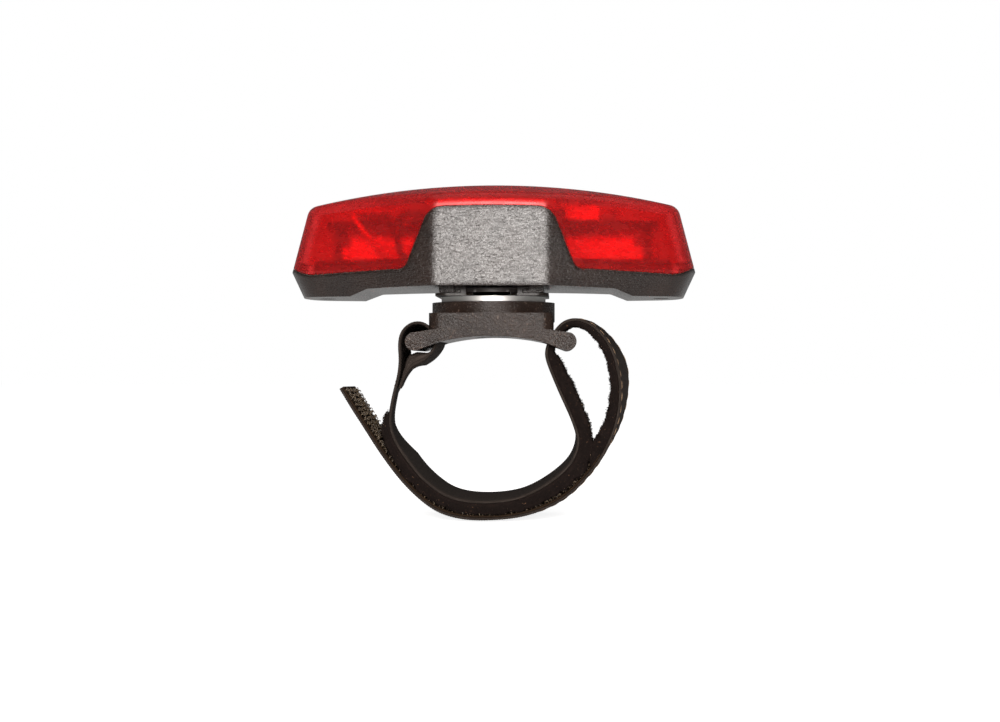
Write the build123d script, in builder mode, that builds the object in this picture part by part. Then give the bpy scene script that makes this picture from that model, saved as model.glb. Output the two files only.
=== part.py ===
from build123d import *
from math import cos, radians, sin, sqrt, tan
import os

# Rear light for a helmet: a lamp that slides onto a swivelling shoe, on a saddle with a strap.
# Millimetres. +X runs along the lamp, +Z goes out through the lens, -Y is the side with the latch.
# The origin is the top of the saddle's hollow underside, on the swivel's axis.

os.makedirs("parts", exist_ok=True)

# Lamp body, seen along Z
half_length = 35.1
half_width = 15.0
flat_half = 9.4
shoulder_half = 33.2
nose_half = 9.0
side_round = 4.0
nose_round = 5.5
least_round = 0.8
end_draft = 14.7
side_draft = 4.0
belly_draft = 24.9

# Saddle bracket
bracket_height = 5.9
bracket_half = 12.0
block_half = 10.5
block_height = 3.9
block_round = 2.0
turret_radius = 10.7
turret_foot = 2.5
hollow_radius = 38.5
hollow_half = 8.8
ear_half = 14.4
ear_height = 1.0
ear_drop = 2.45
ear_foot_x = 12.5
ear_tip_z = -0.9
ear_top_x = 13.4
ear_top_z = 0.56
slot_inner = [(8.35, -1.8), (8.55, -0.9), (9.6, 0.9), (10.6, 2.6)]
slot_outer = [(12.85, 2.6), (12.85, 0.75), (10.9, -2.3), (10.9, -3.5)]
slot_half = 10.0
hub_radius = 3.5
hub_foot = 2.25
web_foot = 1.5
hub_gap = 0.06
plate_round = 2.0

# Swivel and slide
swivel_gap = 0.06
slide_gap = 0.06
guide_gap = 0.1
back_gap = 0.12
disc_radius = 9.1
disc_thick = 0.94
plate_half = 9.7
plate_reach = 8.6
plate_thick = 0.49
neck_half = 5.25
lip_thick = 0.4
flange_half = 6.2
flange_thick = 0.42
rail_thick = 2.6
rail_root = 0.3
shoe_rear = 9.9
rail_front = 9.0
stop_thick = 0.7

# Latch
latch_half = 3.0
tab_half = 5.2
tab_radius = 9.45
tab_thick = 0.7
tab_height = 0.75
stem_thick = 0.4
latch_pivot_y = 3.0
latch_pin_radius = 0.27
latch_pin_half = 3.9
latch_gap = 0.15
latch_pin_gap = 0.06
latch_travel = 0.5
latch_rest = 0.11
latch_floor = 0.05
nub_ridge = 0.4

# Lamp shells
pad_drop = 1.75
pad_inner = 20.8
pad_outer = 23.8
pad_round = 1.5
back_radius = 420.0
floor_thick = 1.65
pad_floor_thick = 2.2
lower_depth = 2.65
wall = 3.2
lens_height = 15.2
lens_wall = 2.0
shell_gap = 0.12
rim_height = 1.2
crown_radius = 135.0
crown_dome = 40.0
crown_round = 2.2
crown_turn = 20.0
crown_margin = 3.0
crown_cut = 9.0

# Parting line of the lamp, seen along Y
parting_flat = 17.0
parting_low_inset = 3.5
parting_dip = 0.75
parting_rise = 1.5
parting_round = 6.0
parting_overhang = 1.4

# Tongues of the housing
tongue_rise = 10.6
tongue_sag = 0.25
tongue_top_half = 10.2
tongue_foot_half = 14.3
tongue_shoulder = 3.6
tongue_toe = 1.8
tongue_thick = 1.6
tongue_root = 1.0
backing_grow = 1.7

# Seal and lens screws
seal_inset = 2.05
seal_width = 0.8
seal_depth = 0.9
seal_gap = 0.05
screw_inset = 5.9
screw_radius = 0.65
screw_head_radius = 1.25
screw_head_thick = 0.8
screw_length = 4.6
screw_sink = 1.0
boss_radius = 1.6
boss_height = 2.9
web_half = 1.0
lens_web = 0.6
screw_gap = 0.1

# Battery, tray and board
tray_gap = 0.15
tray_floor = 0.8
tray_wall = 0.8
tray_height = 2.0
cell_end_room = 9.6
cell_side_room = 8.5
cell_thick = 6.1
cell_round = 1.2
cell_seal = 1.5
cell_seal_thick = 2.4
cell_gap = 0.05
foam_end_room = 5.5
foam_side_room = 1.5
foam_thick = 1.3
board_thick = 1.2
board_inset = 4.0
rib_thick = 0.6
rib_height = 1.6
rib_length = 5.0
rib_x = 12.0
post_length = 1.6
post_half_width = 2.4
post_gap = 0.2
boss_clear = 0.3
board_screw_radius = 0.5
board_screw_head_radius = 1.0
board_screw_head_thick = 0.5
board_screw_length = 3.0

# Parts on the board
led_count = 5
led_pitch = 9.0
led_length = 3.5
led_width = 2.8
led_height = 0.7
led_gap = 0.05
optic_radius = 3.3
optic_foot_radius = 2.6
optic_height = 2.6
optic_flange = 0.5
chip_length = 4.9
chip_width = 3.4
chip_height = 1.2
chip_end_room = 15.1
chip_side_room = 10.05
connector_length = 5.7
connector_width = 3.5
connector_height = 2.4
connector_end_room = 19.95
connector_side_room = 8.85
connector_wall = 0.6
small_length = 1.6
small_width = 0.8
small_height = 0.6
small_count = 8
small_pitch = 4.5
small_side_room = 9.6
guard_length = 8.0
guard_thick = 0.9
guard_height = 2.4
guard_end_room = 25.1
guard_side_room = 6.15
guard_rib = 0.6
lead_diameter = 0.9
lead_gap = 0.02
arc_share = 0.45
notch_end_room = 19.3
notch_side_room = 6.4
notch_gap = 0.25

# Charging port and its cover, power button and its switch
port_x = 4.7
port_width = 7.5
port_height = 2.45
port_shell = 0.35
port_depth = 5.1
port_inset = 1.5
port_gap = 0.1
contact_width = 5.0
contact_thick = 0.7
contact_length = 3.4
cover_width = 9.0
cover_height = 5.2
cover_thick = 0.85
cover_round = 1.0
cover_gap = 0.08
recess_gap = 0.05
cover_pin_radius = 0.25
cover_pin_length = 0.5
cover_pin_gap = 0.06
cover_low = 3.4
button_x = -4.4
button_rise = 4.4
button_radius = 3.6
button_gap = 0.15
button_proud = 0.1
button_travel = 0.4
button_flange = 0.4
button_flange_thick = 0.4
button_round = 0.4
stem_radius = 2.0
stem_reach = 3.5
nub_radius = 0.8
nub_length = 1.9
nub_gap = 0.08
switch_length = 6.0
switch_depth = 3.2
switch_inset = 4.4
switch_height = 5.0
switch_clear = 0.1

# Strap
strap_half = 9.5
webbing_thick = 0.65
pile_thick = 1.15
hook_thick = 0.8
lap_gap = 0.25
stitch_length = 1.6
stitch_thick = 0.3
stitch_pitch = 2.6
stitch_edge = 0.9
stitch_columns = 7
seam_shares = [0.42, 0.54]
edge_runs = [24, 25, 26]
edge_shares = [0.35, 0.65]

# Swivel screw, washer and spring
washer_radius = 2.9
washer_thick = 0.45
pivot_screw_radius = 1.25
pivot_head_radius = 2.4
pivot_head_thick = 0.7
pivot_length = 4.0
spigot_radius = 1.8
recess_radius = 3.2
spring_inner = 7.0
spring_outer = 8.2
spring_depth = 0.6
spring_thick = 0.3
spring_gap = 0.1
spring_bumps = 4
bump_height = 0.22

# Heights that follow from the sizes above
disc_low = bracket_height + swivel_gap
disc_top = disc_low + disc_thick
plate_top = disc_top + plate_thick
rail_low = plate_top + slide_gap
lip_top = rail_low + lip_thick
flange_low = lip_top + slide_gap
flange_top = flange_low + flange_thick
back_height = flange_top + back_gap
pad_low = back_height - pad_drop
floor_height = back_height + floor_thick
pad_floor = pad_low + pad_floor_thick
parting_height = back_height + lower_depth
crown_height = parting_height + lens_height
tongue_height = parting_height + tongue_rise
rim_top = parting_height + rim_height
tray_low = floor_height + cell_gap
tray_top = tray_low + tray_floor
tray_side_top = tray_top + tray_height
cell_low = tray_top + cell_gap
cell_top = cell_low + cell_thick
board_low = cell_top + foam_thick
board_top = board_low + board_thick
boss_top = parting_height + boss_height
stop_rear = shoe_rear + slide_gap + stop_thick
latch_low = plate_top + latch_rest
latch_slot_low = latch_low - latch_travel - latch_floor
spigot_foot = web_foot - swivel_gap
washer_low = spigot_foot - washer_thick

# Places that follow from the lamp's length and width
parting_low_x = half_length - parting_low_inset
screw_x = half_length - screw_inset
cell_half_length = half_length - cell_end_room
cell_half_width = half_width - cell_side_room
foam_half_length = cell_half_length - foam_end_room
foam_half_width = cell_half_width - foam_side_room
chip_x = chip_end_room - half_length
chip_y = chip_side_room - half_width
connector_x = half_length - connector_end_room
connector_y = connector_side_room - half_width
small_y = half_width - small_side_room
guard_x = guard_end_room - half_length
guard_y = guard_side_room - half_width
notch_x = notch_end_room - half_length
notch_y = notch_side_room - half_width
port_outer = half_width - port_inset
port_inner = port_outer - port_depth
switch_outer = half_width - switch_inset
switch_inner = switch_outer - switch_depth
cut_margin = 5.0
reach = half_width + cut_margin
touch = 0.01


def boat(height, inset=0.0):
    """Lamp's plan at a height: flat sides, slanted flanks and a bowed nose at each end."""
    rise = height - parting_height
    slope = end_draft if rise > 0 else belly_draft
    tip = half_length - abs(rise) * tan(radians(slope))
    side = half_width - rise * tan(radians(side_draft))
    shoulder = shoulder_half * tip / half_length
    nose = nose_half * tip / half_length
    middle = (flat_half + shoulder) / 2
    with BuildSketch(Plane.XY.offset(height)) as plan:
        with BuildLine():
            Polyline((shoulder, nose), (flat_half, side), (-flat_half, side), (-shoulder, nose))
            ThreePointArc((-shoulder, nose), (-tip, 0), (-shoulder, -nose))
            Polyline((-shoulder, -nose), (-flat_half, -side), (flat_half, -side), (shoulder, -nose))
            ThreePointArc((shoulder, -nose), (tip, 0), (shoulder, nose))
        make_face()
        if inset:
            offset(amount=-inset, kind=Kind.INTERSECTION)
        sides = plan.vertices().filter_by(lambda corner: abs(corner.X) < middle)
        fillet(sides, radius=max(side_round - inset, least_round))
        noses = plan.vertices().filter_by(lambda corner: abs(corner.X) > middle)
        fillet(noses, radius=max(nose_round - inset, least_round))
    return plan.sketch


def boat_block(low, high, inset=0.0, mode=Mode.ADD):
    """Solid of the lamp's plan between two heights, inset from the outer skin."""
    levels = [low, high]
    if low < parting_height < high:
        levels = [low, parting_height, high]
    loft([boat(level, inset) for level in levels], ruled=True, mode=mode)


def trim_above_crown(drop=0.0):
    """Cut away what lies above the domed crown, lowered by drop."""
    dome_half = half_width + crown_margin
    sag = crown_dome - sqrt(crown_dome**2 - dome_half**2)
    apex = crown_height - drop
    roof = apex + crown_cut
    with BuildSketch(Plane.YZ) as above:
        with BuildLine():
            ThreePointArc((-dome_half, apex - sag), (0, apex), (dome_half, apex - sag))
            Polyline((dome_half, apex - sag), (dome_half, roof), (-dome_half, roof))
            Line((-dome_half, roof), (-dome_half, apex - sag))
        make_face()
    for turn in (crown_turn, -crown_turn):
        across = Axis((0, 0, apex - crown_radius), (0, 1, 0))
        revolve(above.sketch, axis=across, revolution_arc=turn, mode=Mode.SUBTRACT)


def beyond_parting(edge, lift, mode):
    """Combine with the side of the parting line that reaches to the height called edge."""
    far = half_length + parting_overhang
    level = parting_height + lift
    right = [(parting_flat, level), (parting_low_x, level - parting_dip), (far, level + parting_rise)]
    left = [(-x, z) for x, z in reversed(right)]
    with BuildSketch(Plane.XZ) as region:
        with BuildLine():
            FilletPolyline(*left, *right, radius=parting_round)
            Polyline(right[-1], (far, edge), (-far, edge), left[0])
        make_face()
    extrude(region.sketch, amount=reach, both=True, mode=mode)


def tongue_outline(grow=0.0):
    """Tongue seen along Y, with concave feet on the parting line."""
    foot = parting_height
    base = foot - tongue_root
    shoulder = (tongue_top_half, tongue_height - tongue_sag)
    toe = (tongue_foot_half, foot)
    with BuildSketch(Plane.XZ) as outline:
        with BuildLine():
            ThreePointArc((-shoulder[0], shoulder[1]), (0, tongue_height), shoulder)
            Polyline(shoulder, toe, (parting_flat, foot), (parting_flat, base), (-parting_flat, base))
            Polyline((-parting_flat, base), (-parting_flat, foot), (-toe[0], foot))
            Line((-toe[0], foot), (-shoulder[0], shoulder[1]))
        make_face()
        corners = outline.vertices()
        feet = corners.filter_by(lambda corner: abs(abs(corner.X) - tongue_foot_half) < touch)
        fillet(feet, radius=tongue_toe)
        corners = outline.vertices()
        shoulders = corners.filter_by(lambda corner: abs(abs(corner.X) - tongue_top_half) < touch)
        fillet(shoulders, radius=tongue_shoulder)
        if grow:
            offset(amount=grow, kind=Kind.INTERSECTION)
    return outline.sketch


def tongue_skin(depth, grow=0.0):
    """Lamp's skin to a depth, inside the outline of the two tongues."""
    low = parting_height - tongue_root
    high = tongue_height + tongue_root
    boat_block(low, high)
    boat_block(low - tongue_root, high + tongue_root, depth, Mode.SUBTRACT)
    extrude(tongue_outline(grow), amount=reach, both=True, mode=Mode.INTERSECT)


def side_plane(x, height):
    """Plane on the far tongue's outer face, with its own Y up the face and Z outwards."""
    lean = radians(side_draft)
    y = half_width - (height - parting_height) * tan(lean)
    return Plane(origin=(x, y, height), x_dir=(-1, 0, 0), z_dir=(0, cos(lean), sin(lean)))


def round_bar(plane, radius, start, end, mode=Mode.ADD):
    """Cylinder along a plane's normal, between two distances from the plane."""
    with BuildSketch(plane.offset(start)) as section:
        Circle(radius)
    extrude(section.sketch, amount=end - start, mode=mode)


def block(low, high, mode=Mode.ADD):
    """Box between two corners."""
    size = [b - a for a, b in zip(low, high)]
    with Locations(tuple((a + b) / 2 for a, b in zip(low, high))):
        Box(*size, mode=mode)


button_plane = side_plane(button_x, parting_height + button_rise)
cover_axis_height = parting_height + cover_low
cover_plane = side_plane(port_x, cover_axis_height)
cover_hinge = Plane(cover_plane.offset(-cover_thick / 2).origin, x_dir=(0, 1, 0), z_dir=(1, 0, 0))
port_high = board_low
port_low = port_high - port_height

with BuildPart() as tongues:
    tongue_skin(tongue_thick)

with BuildPart() as tongue_pocket:
    tongue_skin(tongue_thick + shell_gap, shell_gap)

with BuildPart() as tongue_backing:
    tongue_skin(wall, backing_grow)

with BuildPart() as lens_room:
    boat_block(rim_top, crown_height, lens_wall)
    trim_above_crown(lens_wall)
    add(tongue_backing.part, mode=Mode.SUBTRACT)
    boat_block(pad_floor, rim_top, wall)

with BuildPart() as seal_groove:
    boat_block(parting_height - seal_depth, parting_height + parting_rise, seal_inset - seal_gap)
    boat_block(
        parting_height - seal_depth - touch,
        parting_height + parting_rise + touch,
        seal_inset + seal_width + seal_gap,
        Mode.SUBTRACT,
    )

with BuildPart() as lens_cover:
    boat_block(parting_height - parting_dip, crown_height + touch)
    trim_above_crown()
    crown = lens_cover.faces().sort_by(Axis.Z)[-1]
    fillet(crown.edges(), radius=crown_round)
    beyond_parting(crown_height + crown_margin, shell_gap, Mode.INTERSECT)
    add(tongue_pocket.part, mode=Mode.SUBTRACT)
    add(lens_room.part, mode=Mode.SUBTRACT)
    for x in (screw_x, -screw_x):
        round_bar(Plane((x, 0, pad_floor + shell_gap)), boss_radius, 0, boss_top - pad_floor - shell_gap)
        web_end = (half_length - lens_wall / 2) * x / screw_x
        low_x, high_x = sorted((x, web_end))
        block((low_x, -web_half, parting_height + parting_rise), (high_x, web_half, boss_top))
        round_bar(Plane((x, 0, pad_floor)), screw_radius, 0, screw_length - screw_head_thick, Mode.SUBTRACT)
    round_bar(button_plane, button_radius + button_flange + button_gap, -wall + lens_web, 0, Mode.SUBTRACT)
    round_bar(button_plane, stem_radius + button_gap, -wall - lens_web, 0, Mode.SUBTRACT)
    block(
        (port_x - port_width / 2 - port_gap, port_inner, port_low - port_gap),
        (port_x + port_width / 2 + port_gap, half_width, port_high + port_gap),
        Mode.SUBTRACT,
    )
lens_cover.part.label = "lens_cover"
export_step(lens_cover.part, "parts/lens_cover.step")

with BuildPart() as rear_housing:
    boat_block(pad_low, parting_height + parting_rise)
    beyond_parting(0, 0, Mode.INTERSECT)
    with BuildSketch(Plane.XZ) as back:
        with BuildLine():
            sag = back_radius - sqrt(back_radius**2 - pad_inner**2)
            ThreePointArc((-pad_inner, back_height - sag), (0, back_height), (pad_inner, back_height - sag))
            Polyline((pad_inner, back_height - sag), (pad_outer, pad_low), (pad_outer, 0), (-pad_outer, 0))
            Polyline((-pad_outer, 0), (-pad_outer, pad_low), (-pad_inner, back_height - sag))
        make_face()
        bends = back.vertices().filter_by(lambda corner: abs(abs(corner.X) - pad_inner) < touch)
        fillet(bends, radius=pad_round)
    extrude(back.sketch, amount=reach, both=True, mode=Mode.SUBTRACT)
    boat_block(floor_height, parting_height + parting_rise, wall, Mode.SUBTRACT)
    with BuildSketch(Plane.XY.offset(pad_floor)) as pads:
        add(boat(pad_floor, wall))
        Rectangle(2 * pad_outer + 2 * pad_round, 2 * reach, mode=Mode.SUBTRACT)
    extrude(pads.sketch, amount=floor_height - pad_floor, mode=Mode.SUBTRACT)
    add(tongues.part)
    add(seal_groove.part, mode=Mode.SUBTRACT)
    for x in (screw_x, -screw_x):
        round_bar(Plane((x, 0, pad_low)), screw_radius + screw_gap, 0, pad_floor_thick, Mode.SUBTRACT)
        round_bar(Plane((x, 0, pad_low)), screw_head_radius + screw_gap, 0, screw_sink, Mode.SUBTRACT)
    for side in (1, -1):
        inner = flange_half + guide_gap
        outer = inner + rail_thick
        lip = neck_half + guide_gap
        low_x, high_x = sorted((side * inner, side * outer))
        block((low_x, -rail_front, rail_low), (high_x, stop_rear, back_height + rail_root))
        low_x, high_x = sorted((side * lip, side * (inner + touch)))
        block((low_x, -rail_front, rail_low), (high_x, stop_rear, lip_top))
    inner = flange_half + guide_gap + touch
    block((-inner, stop_rear - stop_thick, rail_low), (inner, stop_rear, back_height + rail_root))
    round_bar(button_plane, button_radius + button_gap, -wall, 1, Mode.SUBTRACT)
    with BuildSketch(cover_plane.offset(-cover_thick - recess_gap)) as recess:
        with Locations((0, (cover_height - cover_thick / 2) / 2)):
            Rectangle(cover_width + 2 * cover_gap, cover_height + cover_thick / 2 + 2 * cover_gap)
        fillet(recess.vertices().group_by(Axis.Y)[-1], radius=cover_round)
    extrude(recess.sketch, amount=wall, mode=Mode.SUBTRACT)
    pin_end = cover_width / 2 + cover_pin_length + cover_pin_gap
    round_bar(cover_hinge, cover_pin_radius + cover_pin_gap, -pin_end, pin_end, Mode.SUBTRACT)
    block(
        (port_x - port_width / 2 - port_gap, port_inner, port_low - port_gap),
        (port_x + port_width / 2 + port_gap, half_width, port_high + port_gap),
        Mode.SUBTRACT,
    )
rear_housing.part.label = "rear_housing"
export_step(rear_housing.part, "parts/rear_housing.step")

with BuildPart() as lens_seal:
    boat_block(parting_height - seal_depth, parting_height + parting_rise, seal_inset)
    boat_block(
        parting_height - seal_depth - touch,
        parting_height + parting_rise + touch,
        seal_inset + seal_width,
        Mode.SUBTRACT,
    )
    beyond_parting(0, shell_gap, Mode.INTERSECT)
lens_seal.part.label = "lens_seal"
export_step(lens_seal.part, "parts/lens_seal.step")

with BuildPart() as lens_screws:
    for x in (screw_x, -screw_x):
        head_low = pad_low + screw_sink - screw_head_thick
        round_bar(Plane((x, 0, head_low)), screw_head_radius, 0, screw_head_thick)
        round_bar(Plane((x, 0, head_low)), screw_radius, 0, screw_length)
        with BuildSketch(Plane((x, 0, head_low))) as socket:
            RegularPolygon(screw_radius, 6)
        extrude(socket.sketch, amount=screw_head_thick / 2, mode=Mode.SUBTRACT)
lens_screws.part.label = "lens_screws"
export_step(lens_screws.part, "parts/lens_screws.step")

with BuildPart() as battery_tray:
    tray_inset = wall + tray_gap
    extrude(boat(tray_side_top, tray_inset), amount=tray_low - tray_side_top)
    extrude(boat(tray_side_top, tray_inset + tray_wall), amount=-tray_height, mode=Mode.SUBTRACT)
    post_inner = cell_half_length + post_gap
    post_x = post_inner + post_length / 2
    rib_inner = cell_half_width + cell_gap
    for side in (1, -1):
        low_x, high_x = sorted((side * post_inner, side * (post_inner + post_length)))
        block((low_x, -post_half_width, tray_low), (high_x, post_half_width, board_low))
        for x in (rib_x, -rib_x):
            low_y, high_y = sorted((side * rib_inner, side * (rib_inner + rib_thick)))
            block((x - rib_length / 2, low_y, tray_low), (x + rib_length / 2, high_y, tray_top + rib_height))
        screw_plane = Plane((side * post_x, 0, board_low))
        round_bar(screw_plane, board_screw_radius, -board_screw_length, 0, Mode.SUBTRACT)
        boss_plane = Plane((side * screw_x, 0, tray_low))
        round_bar(boss_plane, boss_radius + boss_clear, 0, tray_height + tray_floor, Mode.SUBTRACT)
        low_x, high_x = sorted((side * screw_x, side * half_length))
        web_clear = web_half + boss_clear
        block((low_x, -web_clear, tray_top), (high_x, web_clear, tray_side_top), Mode.SUBTRACT)
    guard_back = guard_y - guard_thick / 2
    block(
        (guard_x - guard_length / 2, guard_back - guard_rib, tray_low),
        (guard_x + guard_length / 2, guard_back, tray_top + guard_height / 2),
    )
battery_tray.part.label = "battery_tray"
export_step(battery_tray.part, "parts/battery_tray.step")

with BuildPart() as battery_cell:
    body_half = cell_half_length - cell_seal
    block((-body_half, -cell_half_width, cell_low), (body_half, cell_half_width, cell_top))
    fillet(battery_cell.edges().filter_by(Axis.X), radius=cell_round)
    middle = (cell_low + cell_top) / 2
    half = cell_seal_thick / 2
    seal_half = cell_half_width - cell_round
    block((-cell_half_length, -seal_half, middle - half), (cell_half_length, seal_half, middle + half))
battery_cell.part.label = "battery_cell"
export_step(battery_cell.part, "parts/battery_cell.step")

with BuildPart() as battery_foam:
    block((-foam_half_length, -foam_half_width, cell_top), (foam_half_length, foam_half_width, board_low))
battery_foam.part.label = "battery_foam"
export_step(battery_foam.part, "parts/battery_foam.step")

with BuildPart() as protection_board:
    block(
        (guard_x - guard_length / 2, guard_y - guard_thick / 2, tray_top),
        (guard_x + guard_length / 2, guard_y + guard_thick / 2, tray_top + guard_height),
    )
protection_board.part.label = "protection_board"
export_step(protection_board.part, "parts/protection_board.step")

with BuildPart() as circuit_board:
    extrude(boat(board_top, board_inset), amount=-board_thick)
    for x in (post_x, -post_x):
        round_bar(Plane((x, 0, board_low)), board_screw_radius + screw_gap, 0, board_thick, Mode.SUBTRACT)
    notch_plane = Plane((notch_x, notch_y, board_low))
    round_bar(notch_plane, lead_diameter / 2 + notch_gap, 0, board_thick, Mode.SUBTRACT)
circuit_board.part.label = "circuit_board"
export_step(circuit_board.part, "parts/circuit_board.step")

with BuildPart() as board_screws:
    for x in (post_x, -post_x):
        top = Plane((x, 0, board_top))
        round_bar(top, board_screw_head_radius, 0, board_screw_head_thick)
        round_bar(top, board_screw_radius, -board_thick - board_screw_length, 0)
board_screws.part.label = "board_screws"
export_step(board_screws.part, "parts/board_screws.step")

led_places = [(i - (led_count - 1) / 2) * led_pitch for i in range(led_count)]

with BuildPart() as leds:
    for x in led_places:
        low = (x - led_length / 2, -led_width / 2, board_top)
        block(low, (x + led_length / 2, led_width / 2, board_top + led_height))
leds.part.label = "leds"
export_step(leds.part, "parts/leds.step")

with BuildPart() as led_optics:
    for x in led_places:
        foot = Plane((x, 0, board_top))
        rim = foot.offset(optic_height - optic_flange)
        with BuildSketch(foot) as narrow:
            Circle(optic_foot_radius)
        with BuildSketch(rim) as wide:
            Circle(optic_radius)
        loft([narrow.sketch, wide.sketch])
        round_bar(rim, optic_radius, 0, optic_flange)
        low = (x - led_length / 2 - led_gap, -led_width / 2 - led_gap, board_top)
        high = (x + led_length / 2 + led_gap, led_width / 2 + led_gap, board_top + led_height + led_gap)
        block(low, high, Mode.SUBTRACT)
led_optics.part.label = "led_optics"
export_step(led_optics.part, "parts/led_optics.step")

with BuildPart() as control_chip:
    block(
        (chip_x - chip_length / 2, chip_y - chip_width / 2, board_top),
        (chip_x + chip_length / 2, chip_y + chip_width / 2, board_top + chip_height),
    )
control_chip.part.label = "control_chip"
export_step(control_chip.part, "parts/control_chip.step")

with BuildPart() as board_parts:
    for i in range(small_count):
        x = (i - (small_count - 1) / 2) * small_pitch
        low = (x - small_length / 2, small_y - small_width / 2, board_top)
        block(low, (x + small_length / 2, small_y + small_width / 2, board_top + small_height))
board_parts.part.label = "board_parts"
export_step(board_parts.part, "parts/board_parts.step")

connector_left = connector_x - connector_length / 2
connector_right = connector_left + connector_length
connector_front = connector_y - connector_width / 2

with BuildPart() as battery_connector:
    block(
        (connector_left, connector_front, board_top),
        (connector_right, connector_front + connector_width, board_top + connector_height),
    )
    block(
        (connector_left + connector_wall, connector_front + connector_wall, board_top + connector_wall),
        (
            connector_right,
            connector_front + connector_width - connector_wall,
            board_top + connector_height - connector_wall,
        ),
        Mode.SUBTRACT,
    )
battery_connector.part.label = "battery_connector"
export_step(battery_connector.part, "parts/battery_connector.step")


def lead(points):
    """Round lead through points, with arcs as large as its runs allow."""
    runs = [Vector(b) - Vector(a) for a, b in zip(points, points[1:])]
    radii = []
    for before, after in zip(runs, runs[1:]):
        half_turn = radians(before.get_angle(after)) / 2
        radii.append(arc_share * min(before.length, after.length) / tan(half_turn))
    with BuildLine() as path:
        FilletPolyline(*points, radius=radii)
    start = Plane(path.line @ 0, z_dir=path.line % 0)
    with BuildSketch(start) as section:
        Circle(lead_diameter / 2)
    sweep(section.sketch, path=path.line)


lead_start = guard_x - 1.0
lead_y = guard_y + guard_thick / 2 + lead_diameter / 2 + lead_gap
red_route = [
    (lead_start, lead_y, 12.0),
    (-15.9, lead_y, 12.0),
    (-20.2, -8.0, 16.2),
    (-23.5, -7.8, 20.3),
    (-23.3, -5.4, 21.34),
    (-18.0, -5.3, 21.55),
    (-12.0, -6.1, 20.3),
    (0.0, -6.2, 20.15),
    (connector_left, -5.7, 20.9),
]
black_route = [
    (lead_start, lead_y, 13.0),
    (-14.9, lead_y, 13.2),
    (notch_x, notch_y, 16.0),
    (notch_x + 0.1, notch_y, 20.1),
    (-14.0, -7.6, 21.0),
    (-9.0, -7.4, 20.2),
    (2.0, -7.6, 20.15),
    (connector_left, -6.9, 20.9),
]

with BuildPart() as battery_lead_red:
    lead(red_route)
battery_lead_red.part.label = "battery_lead_red"
export_step(battery_lead_red.part, "parts/battery_lead_red.step")

with BuildPart() as battery_lead_black:
    lead(black_route)
battery_lead_black.part.label = "battery_lead_black"
export_step(battery_lead_black.part, "parts/battery_lead_black.step")

with BuildPart() as charge_port:
    left = port_x - port_width / 2
    right = port_x + port_width / 2
    block((left, port_inner, port_low), (right, port_outer, port_high))
    fillet(charge_port.edges().filter_by(Axis.Y), radius=port_shell)
    block(
        (left + port_shell, port_inner + port_shell, port_low + port_shell),
        (right - port_shell, port_outer, port_high - port_shell),
        Mode.SUBTRACT,
    )
charge_port.part.label = "charge_port"
export_step(charge_port.part, "parts/charge_port.step")

with BuildPart() as charge_port_contacts:
    contact_low = port_high - port_shell - contact_thick
    block(
        (left + port_shell, port_inner + port_shell, port_low + port_shell),
        (right - port_shell, port_inner + 2 * port_shell, port_high - port_shell),
    )
    block(
        (port_x - contact_width / 2, port_inner + port_shell, contact_low - contact_thick / 2),
        (port_x + contact_width / 2, port_inner + contact_length, contact_low + contact_thick / 2),
    )
charge_port_contacts.part.label = "charge_port_contacts"
export_step(charge_port_contacts.part, "parts/charge_port_contacts.step")

with BuildPart() as port_cover:
    with BuildSketch(cover_plane.offset(-cover_thick)) as flap:
        with Locations((0, cover_height / 2)):
            Rectangle(cover_width, cover_height)
        fillet(flap.vertices().group_by(Axis.Y)[-1], radius=cover_round)
    extrude(flap.sketch, amount=cover_thick)
    round_bar(cover_hinge, cover_thick / 2, -cover_width / 2, cover_width / 2)
    pin_end = cover_width / 2 + cover_pin_length
    round_bar(cover_hinge, cover_pin_radius, -pin_end, pin_end)
port_cover.part.label = "port_cover"
export_step(port_cover.part, "parts/port_cover.step")

flange_outer = -tongue_thick - slide_gap
flange_inner = flange_outer - button_flange_thick

with BuildPart() as power_button:
    round_bar(button_plane, button_radius, flange_outer, button_proud)
    fillet(power_button.edges().sort_by(Axis.Y)[-1], radius=button_round)
    round_bar(button_plane, button_radius + button_flange, flange_inner, flange_outer)
    round_bar(button_plane, stem_radius, -stem_reach, flange_inner)
power_button.part.label = "power_button"
export_step(power_button.part, "parts/power_button.step")

with BuildPart() as switch_plunger:
    round_bar(button_plane, nub_radius, -stem_reach - nub_length, -stem_reach)
switch_plunger.part.label = "switch_plunger"
export_step(switch_plunger.part, "parts/switch_plunger.step")

with BuildPart() as tact_switch:
    block(
        (button_x - switch_length / 2, switch_inner, board_low - switch_height),
        (button_x + switch_length / 2, switch_outer, board_low),
    )
    bore_end = stem_reach + nub_length + button_travel + switch_clear
    round_bar(button_plane, nub_radius + nub_gap, -bore_end, 0, Mode.SUBTRACT)
tact_switch.part.label = "tact_switch"
export_step(tact_switch.part, "parts/tact_switch.step")

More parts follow.
